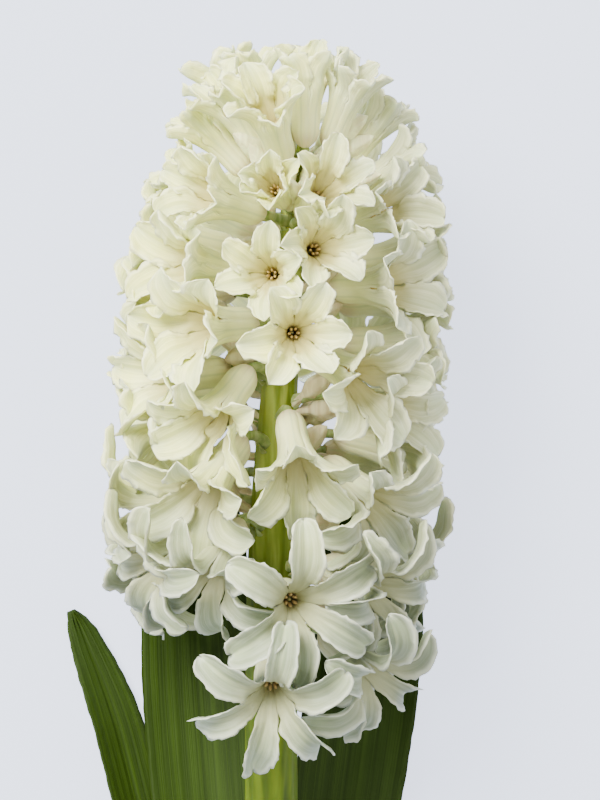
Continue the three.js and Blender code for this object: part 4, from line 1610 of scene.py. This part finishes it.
    def tube_sheets(self) -> list[Array]:
        """Works out the rows of all petals' sheets along the tube, as the points of sheets.

        Returns:
            The points of each row.
        """
        head, turned = self.head, self.fan()[1]
        along, size = head.frames()[0][:, None, None], head.size[:, None, None, None]
        foot, tube = head.foot[:, None, None], head.tube[:, None, None, None]
        radii = [self.tube_radius(mark) * size for mark in self.tube_rows]
        return [foot + turned * radius + along * (tube * mark) for mark, radius in zip(self.tube_rows, radii)]

    def sheets(self) -> Array:
        """Works out all petals' sheets.

        Returns:
            The points in the plant's frame: floret, lobe, row, column, coordinate.
        """
        head, opened = self.head, self.opened()[..., None]
        draw = np.random.default_rng(self.seed)
        bend = {name: values[..., None] for name, values in self.bends(draw).items()}
        jagged, wavy = self.edge_waves(draw), self.edge_waves(draw)
        v, size = np.linspace(-1, 1, self.columns), head.size[:, None, None]
        fan, edge = self.fan(self.mouth_slit)[0], np.abs(v) ** 2.5
        mouth_radius = head.form.mouth_radius
        mouth_sag = mouth_radius * (1 - np.cos(fan)) * size
        mouth_half = mouth_radius * np.sin(np.abs(fan)) * size
        sideways = head.lobe_outward(head.angle + math.pi / 2)
        inner = np.where(np.arange(LOBES) % 2 == 1, 1.0, -1.0)[None, :, None]
        rows = self.tube_sheets()
        for row, share in enumerate(np.linspace(0, 1, self.lobe_rows + 1)):
            point = head.settled_point(share)
            heading = unit(head.settled_point(share + 0.02) - head.settled_point(max(share - 0.02, 0)))
            centre = lerp(point, head.settled_point(0.8 * share), self.topmost()[..., None])
            centre = centre + heading * (bend["stretch"] * share * share)
            across = unit(sideways - heading * dot(sideways, heading))
            front = np.cross(heading, across)
            angle = bend["twist"] * smoothstep(share, 0.2, 1)
            across, front = (
                across * np.cos(angle) + front * np.sin(angle),
                front * np.cos(angle) - across * np.sin(angle),
            )
            half = (self.half_widths(share, bend["bluntness"][..., 0]) * bend["pinch"][..., 0])[..., None]
            release = smoothstep(share, 0, 0.2)
            reach = v * half * (1 + 0.06 * jagged[row] * edge) + bend["sway"] * share * share
            reach = lerp(np.sign(v) * mouth_half, reach, release)
            bowl = (bend["cup"] + 0.16 * smoothstep(share, 0.65, 1)) * half * np.abs(v) ** 1.8
            bowl = bowl + bend["slant"] * half * v + 0.42 * wavy[row] * edge * size
            bowl = bowl + 0.6 * opened * smoothstep(np.abs(v), 0.7, 1)
            step = self.whorl_step * smoothstep(share, 0.05, 0.35) * size * inner
            hood = bend["hook"] * smoothstep(share, 0.72, 1) ** 2 * size
            raised = lerp(mouth_sag, bowl, release) + step + hood
            spread = across[:, :, None] * reach[..., None] + front[:, :, None] * raised[..., None]
            rows.append(centre[:, :, None] + spread)
        climb = np.concatenate([self.tube_rows, np.ones(self.lobe_rows + 1)])
        return np.stack(rows, 2) + self.pulls()[:, None, None, None] * climb[:, None, None]

    def throat_points(self) -> tuple[Array, Array, Array]:
        """Works out where the anthers and the pistil stand.

        Returns:
            Their places and aims in the plant's frame, and their girths in millimetres: floret, piece,
            coordinate.
        """
        head = self.head
        along = head.frames()[0]
        ring = head.lobe_outward(head.angle)
        size = head.size[:, None, None]
        climb = lerp(*self.anther_climb, self.opened().mean(1))[:, None, None]
        tube = (along * head.tube[:, None] + self.pulls())[:, None]
        anthers = head.foot[:, None] + ring * self.anther_ring * size + tube * climb
        pistil = head.foot[:, None] + tube * self.pistil_climb
        places = np.concatenate([anthers, pistil], 1)
        aims = np.concatenate([unit(along[:, None] + 0.25 * ring), along[:, None]], 1)
        kinds = [self.anther_size] * LOBES + [self.pistil_size]
        girths = np.array([(thickness, thickness, length) for thickness, length in kinds])
        return places, aims, girths[None] * size

    def grid_values(self) -> dict[str, Array]:
        """Works out what all florets' sheets share.

        Returns:
            The across, along, free and rim of each vertex of a floret's petals, by name.
        """
        lobe_shares = lerp(self.mouth_share, 1, np.linspace(0, 1, self.lobe_rows + 1))
        shares = np.concatenate([np.array(self.tube_rows) * self.mouth_share, lobe_shares])
        loose = smoothstep(np.arange(len(shares)), len(self.tube_rows) - 3, len(self.tube_rows) + 2)
        loose[-2:] *= self.tip_hold
        return {
            "across": np.tile(np.linspace(-1, 1, self.columns), len(shares) * LOBES),
            "along": np.tile(np.repeat(shares, self.columns), LOBES),
            "free": np.tile(np.repeat(loose, self.columns), LOBES),
            "rim": np.tile(rim_shares(len(shares), self.columns), LOBES),
        }

    def build(self, tree: Tree, finishes: dict[str, Material]) -> list[Piece]:
        """Builds every floret's piece.

        Args:
            tree: the floret tree.
            finishes: its materials, by the tree's input names.

        Returns:
            The pieces, in the head's order.
        """
        sheets = LYING.place(self.sheets())
        linings = self.linings() @ LYING.matrix()[:3, :3].T
        opened = self.opened().mean(1)
        places, aims, girths = self.throat_points()
        places, aims, girths = LYING.place(places), LYING.turn(aims), girths * MM
        petal = sheets.shape[2] * self.columns
        faces = [grid_faces(sheets.shape[2], self.columns, k * petal)[:, ::-1] for k in range(LOBES)]
        faces, blank = np.concatenate(faces), np.zeros((LOBES * petal, 3))
        grid = self.grid_values()
        along, loose = grid.pop("along"), places.shape[1]
        shared = {name: np.append(values, np.zeros(loose)) for name, values in grid.items()}
        kinds = [Part.PETAL] * len(blank) + [Part.ANTHER] * LOBES + [Part.PISTIL]
        shared["part"] = np.array([kind.value for kind in kinds], float)
        pieces = []
        for index, node in enumerate(self.head.node_names()):
            attributes = {
                **shared, "aim": np.concatenate([blank, aims[index]]),
                "girth": np.concatenate([blank, girths[index]]),
                "lining": np.concatenate([linings[index].reshape(-1, 3), np.zeros((loose, 3))]),
            }
            points = np.concatenate([sheets[index].reshape(-1, 3), places[index]])
            mesh = sheet_mesh(node + "_sheet", points, faces, along, attributes)
            spread = float(opened[index])
            values = {
                "Detail": 1, "Thickness": 0.5 * MM, "Midrib groove": 0.42 * MM, "Midrib width": 0.18,
                "Vein relief": lerp(0.04, 0.09, spread) * MM, "Vein count": RIB_COUNT,
                "Rim ruffle": lerp(4.2, 2.0, spread) * MM, "Ruffle size": 1.9 * MM,
                "Seed": float(index), **finishes,
            }
            piece = grow_mesh(mesh, node + "_bloom", tree, values)
            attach(piece, "root")
            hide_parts(node)
            pieces.append(piece)
        return pieces


@dataclass
class Stem:
    """The scape with its root plate, its stalks and their bracts.

    Args:
        head: the settled head, whose florets the stalks carry.
        shoot, scales: the trees that sweep lines and set cones.
        finishes: the materials of the stem, the stalks and the plate, by name.
        ribs, rib_depth: the ridges round the stem, and how deep they are, as a share of its radius.
        foot_radius, stalk_radius: a stalk's radius at the stem, and at its floret.
        bract_size: a bract's two thicknesses and its length, in millimetres.
        plate_marks, plate_radii: the root plate's rows from its top down, and their radii, as shares.
        root_count, root_turn: the cut roots, and the turn from one to the next, in radians.
        root_radius, root_lengths: their radius, and the limits of their length.
    """

    head: Head
    shoot: Tree
    scales: Tree
    finishes: dict[str, Material]
    ribs: float = 11
    rib_depth: float = 0.022
    sides: int = 88
    row_step: float = 3
    stalk_sides: int = 10
    stalk_rows: int = 9
    foot_radius: float = 1.4
    stalk_radius: float = 1.0
    bract_size: tuple[float, float, float] = (0.9, 0.35, 3.0)
    plate_marks: tuple[float, ...] = (0.0, 0.06, 0.3, 0.66, 0.9, 1.0)
    plate_radii: tuple[float, ...] = (0.93, 0.985, 1.0, 0.985, 0.93, 0.84)
    root_count: int = 26
    root_turn: float = math.radians(137.5)
    root_radius: float = 0.75
    root_lengths: Span = (0.5, 1.4)
    seed: int = 5

    def sweep(self, name: str, lines: list[Array], radii: list[Array], finish: str, *form: float) -> Piece:
        """Sweeps a section along lines.

        Args:
            name: the piece's name.
            lines: the lines' points in the plant's frame.
            radii: their radii in millimetres.
            finish: the name of the piece's finish.
            form: the section's sides and ribs, and the depth of a rib as a share of the radius.

        Returns:
            The piece.
        """
        values = {**dict(zip(("Sides", "Ribs", "Rib depth"), form)), "Finish": self.finishes[finish]}
        return grow_mesh(line_mesh(name, lines, radii), name, self.shoot, values)

    def scape(self) -> Piece:
        """Builds the ribbed stem.

        Returns:
            The piece.
        """
        stem = self.head.stem
        heights = np.append(np.arange(-1.0, stem.length, self.row_step), stem.length)
        radii = stem.radius(heights)
        radii[-1] *= 0.55
        form = self.sides, self.ribs, self.rib_depth
        return self.sweep("scape", [stem.axis(heights)], [radii], "stem", *form)

    def stalks(self) -> Piece:
        """Builds the florets' stalks.

        Returns:
            The piece.
        """
        head = self.head
        along = head.frames()[0]
        end = head.foot + along * 0.6
        bend = end - along * (0.5 * head.form.stalk_length * np.sqrt(head.size))[:, None]
        share = np.linspace(0, 1, self.stalk_rows)[:, None]
        taper = lerp(self.foot_radius, self.stalk_radius, share[:, 0] ** 0.6)
        lines, radii = [], []
        for index, size in enumerate(head.size):
            curve = (1 - share) ** 2 * head.start[index] + 2 * share * (1 - share) * bend[index]
            lines.append(curve + share**2 * end[index])
            radii.append(taper * math.sqrt(size))
        return self.sweep("stalks", lines, radii, "stalk", self.stalk_sides, 5.0, 0.05)

    def bracts(self) -> Piece:
        """Builds the small scale under each stalk.

        Returns:
            The piece.
        """
        head = self.head
        out = np.stack([np.sin(head.azimuth), np.zeros_like(head.azimuth), np.cos(head.azimuth)], 1)
        radius = head.stem.radius(head.height)[:, None]
        places = head.stem.axis(head.height - 1.9) + out * (radius - 0.5)
        aims = unit(out + np.array([0.0, 0.75, 0.0]))
        mesh = point_mesh("bract_points", places, aims, np.tile(self.bract_size, (len(places), 1)))
        values = {"Sides": 10, "Tip": 0.08, "Finish": self.finishes["stalk"]}
        return grow_mesh(mesh, "bracts", self.scales, values)

    def plate(self) -> Piece:
        """Builds the slice of root plate.

        Returns:
            The piece.
        """
        stem = self.head.stem
        heights = -stem.plate_thickness * np.array(self.plate_marks)
        radii = stem.plate_radius * np.array(self.plate_radii)
        return self.sweep("root_plate", [stem.axis(heights)], [radii], "plate", 96, 23.0, 0.008)

    def roots(self) -> Piece:
        """Builds the stubs of the cut roots under the plate's rim.

        Returns:
            The piece.
        """
        stem, count = self.head.stem, np.arange(self.root_count)
        angle, even = count * self.root_turn, np.ones(self.root_count)
        radius = stem.plate_radius * (0.5 + 0.33 * np.sqrt(count / count[-1]))
        level = even * (0.3 - stem.plate_thickness)
        places = np.stack([radius * np.cos(angle), level, radius * np.sin(angle)], 1)
        aims = np.stack([0.3 * np.cos(angle), -even, 0.3 * np.sin(angle)], 1)
        lengths = np.random.default_rng(self.seed).uniform(*self.root_lengths, self.root_count)
        girths = np.stack([even * self.root_radius, even * self.root_radius, lengths], 1)
        mesh = point_mesh("root_points", places, aims, girths)
        values = {"Sides": 10, "Tip": 0.8, "Finish": self.finishes["plate"]}
        return grow_mesh(mesh, "root_stubs", self.scales, values)

    def build(self) -> list[Piece]:
        """Builds the stem's pieces.

        Returns:
            The pieces.
        """
        pieces = [self.scape(), self.stalks(), self.bracts(), self.plate(), self.roots()]
        for piece in pieces:
            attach(piece, "root")
            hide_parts("stem")
        return pieces


@dataclass
class Buds:
    """The late buds, which stay shut on short stalks wherever the florets leave room for them.

    Args:
        head: the settled head.
        tries, most: how many places are tried for each group, and how many buds it may have.
        heights: between which heights on the stem each group grows: low on the head, and at its top.
        middles, spreads: the azimuth that each group grows round, and how far round, in radians.
        rises: between which slopes each group points, in radians.
        squeeze: how far a bud of each group may press into its neighbours, in millimetres.
        lengths, girths: the limits of a bud's length with its stalk, and of its radius's factor.
        top_growth: what is added to both for the top group.
        radius, stalk: a bud's radius at its widest, and the length of its stalk.
        stalk_radius, tip_radius: how much thicker its stalk is than its tip, and the tip's radius.
    """

    head: Head
    tries: int = 4000
    most: tuple[int, int] = (46, 12)
    heights: tuple[Span, Span] = ((104, 194), (191, 204))
    middles: Span = (math.pi, 0)
    spreads: Span = (math.radians(132), math.radians(80))
    rises: tuple[Span, Span] = ((-0.5, 0.7), (0.25, 0.8))
    squeeze: Span = (1.4, 4.6)
    lengths: Span = (11.5, 15)
    girths: Span = (0.75, 1)
    top_growth: Span = (4.5, 0.15)
    radius: float = 2.7
    stalk: float = 4
    stalk_radius: float = 0.75
    tip_radius: float = 0.2
    rows: int = 15
    sides: int = 24
    seed: int = 4

    def line(self, draw: np.random.Generator, group: int) -> tuple[Array, Array]:
        """Draws one bud.

        Args:
            draw: the buds' own draws.
            group: 0 for a bud low on the head, and 1 for one at its top.

        Returns:
            Its points in the plant's frame, from the stem out to its tip, and their radii in millimetres.
        """
        stem, spread = self.head.stem, self.spreads[group]
        height = draw.uniform(*self.heights[group])
        azimuth = self.middles[group] - draw.uniform(-spread, spread)
        rise = draw.uniform(*self.rises[group])
        length, girth = draw.uniform(*self.lengths), draw.uniform(*self.girths)
        length, girth = length + self.top_growth[0] * group, girth + self.top_growth[1] * group
        aim = outward(azimuth) * math.cos(rise) + np.array([0.0, math.sin(rise), 0.0])
        start = stem.axis(height) + outward(azimuth) * (float(stem.radius(height)) - 0.6)
        along = np.linspace(0, length, self.rows)
        bulge = np.clip((along - self.stalk) / (length - self.stalk), 0, 1)
        swell = np.sqrt(np.clip(np.sin(math.pi * bulge**0.8), 0, 1)) * (1 - 0.35 * bulge)
        thin = self.stalk_radius * (along <= self.stalk) + self.tip_radius
        return start + aim * along[:, None], np.maximum(self.radius * girth * swell * 1.15, thin)

    def obstacles(self) -> tuple[Array, Array]:
        """Gives balls that fill the florets, and their radii.

        Returns:
            The balls' centres and their radii, in millimetres.
        """
        head, centres, radii = self.head, [], []
        for share in np.linspace(0, 1, 9):
            centres.append(lerp(head.foot, head.mouth, share))
            radii.append(head.size * np.interp(share, (0, 0.2, 0.8, 1), (1.6, 3.4, 3.6, 4.6)))
        for share in (0.25, 0.5, 0.75, 1.0):
            centres += list(head.settled_point(share).swapaxes(0, 1))
            radii += [1.9 * head.size] * LOBES
        return np.concatenate(centres), np.concatenate(radii)

    def build(self, tree: Tree, finish: Material) -> Piece:
        """Builds the buds as one piece.

        Args:
            tree: the tree that sweeps lines.
            finish: their material.

        Returns:
            The piece.
        """
        draw = np.random.default_rng(self.seed)
        centres, room = self.obstacles()
        lines, girths, taken = [], [], [0, 0]
        outer = slice(self.rows // 3, None)
        for attempt in range(2 * self.tries):
            group = attempt // self.tries
            if taken[group] == self.most[group]:
                continue
            points, radii = self.line(draw, group)
            gap = np.linalg.norm(points[outer, None] - centres[None], axis=-1)
            gap = gap - radii[outer, None] - room[None]
            floor = LYING.height(points) - radii - self.head.crowding.leaf_top
            if gap.min() < -self.squeeze[group] or floor.min() < 0:
                continue
            taken[group] += 1
            lines.append(points)
            girths.append(radii)
            centres, room = np.concatenate([centres, points[outer]]), np.concatenate([room, radii[outer]])
        LOG.info("%d late buds low on the head and %d at its top", *taken)
        values = {"Sides": self.sides, "Ribs": 6.0, "Rib depth": 0.07, "Finish": finish}
        piece = grow_mesh(line_mesh("bud_lines", lines, girths), "late_buds", tree, values)
        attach(piece, "root")
        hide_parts("stem")
        return piece


# Each line of a leaf is a station on its midrib: X, Y, the height above the table, the roll in degrees, half
# of the blade's width and the radius that the blade bends round. At its foot a leaf bends round the stem.
LEAF_LINES = {
    "leaf_right": (
        (None, 0.3, None, 62, 8.6, 8.4),
        (11.5, 26, 3.4, 30, 11.2, 13),
        (16.8, 58, 1.1, 4, 13, 19),
        (21.4, 96, 1.05, 0, 13.2, 26),
        (22.6, 122, 1.05, 0, 9.8, 30),
        (22, 134, 1.6, 0, 4.6, 30),
        (22, 137.5, 2.3, 0, 1.2, 30),
    ),
    "leaf_left": (
        (None, 0.3, None, -62, 8.6, 8.4),
        (-10.2, 26, 3.4, -28, 11.8, 14),
        (-13.6, 58, 1.1, -2, 13.6, 26),
        (-16.4, 96, 1.05, 0, 13.4, 30),
        (-17, 124, 1.05, 0, 10, 32),
        (-17, 138, 1.5, 0, 4.8, 32),
        (-17, 142, 2.2, 0, 1.2, 32),
    ),
    "leaf_small": (
        (None, 0.3, None, -105, 6, 11.6),
        (-19.6, 24, 6.5, -60, 6.8, 14),
        (-28.4, 52, 6.4, -40, 7.2, 16),
        (-35.3, 78, 4.6, -30, 6.6, 16),
        (-42.2, 96, 3.6, -24, 4, 16),
        (-45.2, 102.6, 4, -24, 1, 16),
    ),
}


@dataclass
class Leaf:
    """One channelled leaf.

    Args:
        node: the node that it replaces.
        fold, thickness: how deep its middle is folded, and how thick it is, in millimetres.
    """

    node: str
    fold: float = 0.16
    rows: int = 61
    columns: int = 17
    thickness: float = 1.5

    def stations(self) -> Array:
        """Gives the leaf's lines with every value worked out, in the plant's frame.

        Returns:
            The values, a row for each line.
        """
        rows = []
        for x, y, lift, roll, half, bend in LEAF_LINES[self.node]:
            roll = math.radians(roll)
            if x is None:
                rows.append((bend * math.sin(roll), y, -bend * math.cos(roll), roll, half, bend))
            else:
                rows.append((x, y, float(LYING.table_depth(y)) + lift, roll, half, bend))
        return np.array(rows)

    def station(self, share: float) -> Array:
        """Gives smooth values between the stations.

        Args:
            share: how far along the leaf.

        Returns:
            The values of a line of LEAF_LINES, all worked out.
        """
        stations = self.stations()
        last = len(stations) - 1
        i = min(int(share * last), last - 1)
        t = share * last - i
        a, b, c, d = (stations[min(max(n, 0), last)] for n in (i - 1, i, i + 1, i + 2))
        return b + 0.5 * t * (c - a + t * (2 * a - 5 * b + 4 * c - d + t * (3 * (b - c) + d - a)))

    def sheet(self) -> Array:
        """Works out the leaf's sheet.

        Returns:
            The points in the plant's frame: row, column, coordinate.
        """
        v, step, rows = np.linspace(-1, 1, self.columns), 0.01, []
        for share in np.linspace(0, 1, self.rows):
            x, y, z, roll, half, bend = self.station(share)
            ahead, behind = self.station(min(share + step, 1)), self.station(max(share - step, 0))
            heading = unit(ahead[:3] - behind[:3])
            level = np.array([math.cos(roll), 0.0, math.sin(roll)])
            across = unit(level - heading * float(level @ heading))
            face = np.cross(across, heading)
            turn = v * half / bend
            aside, raised = bend * np.sin(turn), bend * (1 - np.cos(turn))
            rows.append(np.array([x, y, z]) + across * aside[:, None] + face * raised[:, None])
        return np.stack(rows)

    def build(self, tree: Tree, finish: Material) -> Piece:
        """Builds the leaf's piece.

        Args:
            tree: the leaf tree.
            finish: its material.

        Returns:
            The piece.
        """
        points = LYING.place(self.sheet()).reshape(-1, 3)
        across = np.tile(np.linspace(-1, 1, self.columns), self.rows)
        along = np.repeat(np.linspace(0, 1, self.rows), self.columns)
        rim = rim_shares(self.rows, self.columns)
        attributes = {"across": across, "free": np.ones(len(points)), "rim": rim}
        faces = grid_faces(self.rows, self.columns)
        mesh = sheet_mesh(self.node + "_sheet", points, faces, along, attributes)
        values = {
            "Detail": 1, "Thickness": self.thickness * MM, "Midrib groove": self.fold * MM,
            "Midrib width": 0.14, "Vein relief": 0.05 * MM, "Vein count": 40.0, "Rim ruffle": 0.8 * MM,
            "Ruffle size": 1.9 * MM, "Seed": 3.0, "Finish": finish,
        }
        piece = grow_mesh(mesh, self.node + "_blade", tree, values)
        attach(piece, "root")
        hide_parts(self.node)
        return piece


# The studio


@dataclass
class Studio:
    """The pale table, the soft lights and the camera straight above the stem.

    Args:
        view_across, view_along: the plant-frame X and Y in the middle of the picture, in millimetres.
        picture_height: what the picture's height shows at the stem, in millimetres.
        distance, sensor: from the camera to the stem, and its sensor's height, in millimetres.
        lights: the lights' names, places and sizes in metres, and powers.
        room_colour, room_strength: the even light from all round.
    """

    view_across: float = 6.4
    view_along: float = 150
    picture_height: float = 176
    distance: float = 900
    sensor: float = 36
    table_size: float = 6
    tint: Colour = (1.0, 0.975, 0.86)
    lights: tuple[tuple[str, Colour, float, float], ...] = (
        ("Window", (-0.6, 0.6, 1.15), 0.8, 81.0),
        ("Front fill", (0.1, -0.8, 1.6), 1.6, 16.0),
        ("Side fill", (1.2, 0.3, 1.0), 1.4, 14.0),
    )
    room_colour: Colour = (0.93, 0.95, 1.0)
    room_strength: float = 0.92

    def camera(self) -> Piece:
        """Makes the camera and points it down at the stem.

        Returns:
            The camera.
        """
        data = bpy.data.cameras.new("Camera")
        data.sensor_width = self.sensor
        data.lens = self.sensor * self.distance / self.picture_height
        data.clip_end = 20
        camera = add_object("Camera", data)
        place = LYING.place(np.array([self.view_across, self.view_along, self.distance]))
        camera.matrix_world = Matrix.Translation(Vector(place)) @ Matrix.Rotation(LYING.tilt, 4, "X")
        bpy.context.scene.camera = camera
        return camera

    def table(self, finish: Material) -> Piece:
        """Makes the table top.

        Args:
            finish: its material.

        Returns:
            The table.
        """
        half = self.table_size / 2
        corners = np.array([(-half, -half, 0), (half, -half, 0), (half, half, 0), (-half, half, 0)])
        mesh = make_mesh("table", corners, {}, faces=[(0, 1, 2, 3)])
        mesh.materials.append(finish)
        table = add_object("table", mesh)
        table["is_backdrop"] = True
        return table

    def light(self) -> None:
        """Makes the soft lights and the even light from all round."""
        for name, place, size, power in self.lights:
            data = bpy.data.lights.new(name, "AREA")
            data.size = size
            data.energy = power
            data.color = self.tint
            lamp = add_object(name, data)
            lamp.location = place
            lamp.rotation_euler = (-Vector(place)).to_track_quat("-Z", "Y").to_euler()
        world = bpy.data.worlds.new("Soft room")
        world.use_nodes = True
        background = world.node_tree.nodes["Background"]
        background.inputs["Color"].default_value = rgba(self.room_colour)
        background.inputs["Strength"].default_value = self.room_strength
        bpy.context.scene.world = world


def main() -> None:
    """Builds the studio and the plant, and reports each piece."""
    logging.basicConfig(level=logging.INFO, format="%(name)s: %(message)s")
    EFFECTS.update({"Lengthwise veins": veins_group(), "Soft blotches": blotch_group()})
    studio = Studio()
    studio.camera()
    studio.light()
    studio.table(TABLE_GREY.make())
    head = Head(StemForm(), FloretForm(), Crowding())
    blade, shoot = blade_tree(), shoot_tree()
    petals = {finish.name: finish.make() for finish in (PETAL_FACE, PETAL_BACK, ANTHER_BROWN, PISTIL_GREEN)}
    pieces = Florets(head).build(floret_tree(blade), petals)
    greens = {"stem": STEM_GREEN.make(), "stalk": STALK_GREEN.make(), "plate": PLATE_BROWN.make()}
    pieces += Stem(head, shoot, scatter_tree(), greens).build()
    pieces.append(Buds(head).build(shoot, BUD_CREAM.make()))
    leaf_green, leaf_form = LEAF_GREEN.make(), leaf_tree(blade)
    pieces += [Leaf(node).build(leaf_form, leaf_green) for node in LEAF_LINES]
    for piece in pieces:
        LOG.info("%s: %d faces", piece.name, len(piece.data.polygons))
    boxes = {"cad": CAD_BOX, "visual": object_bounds()}
    plain = {name: [list(map(float, corner)) for corner in box] for name, box in boxes.items()}


if __name__ == "__main__":
    main()
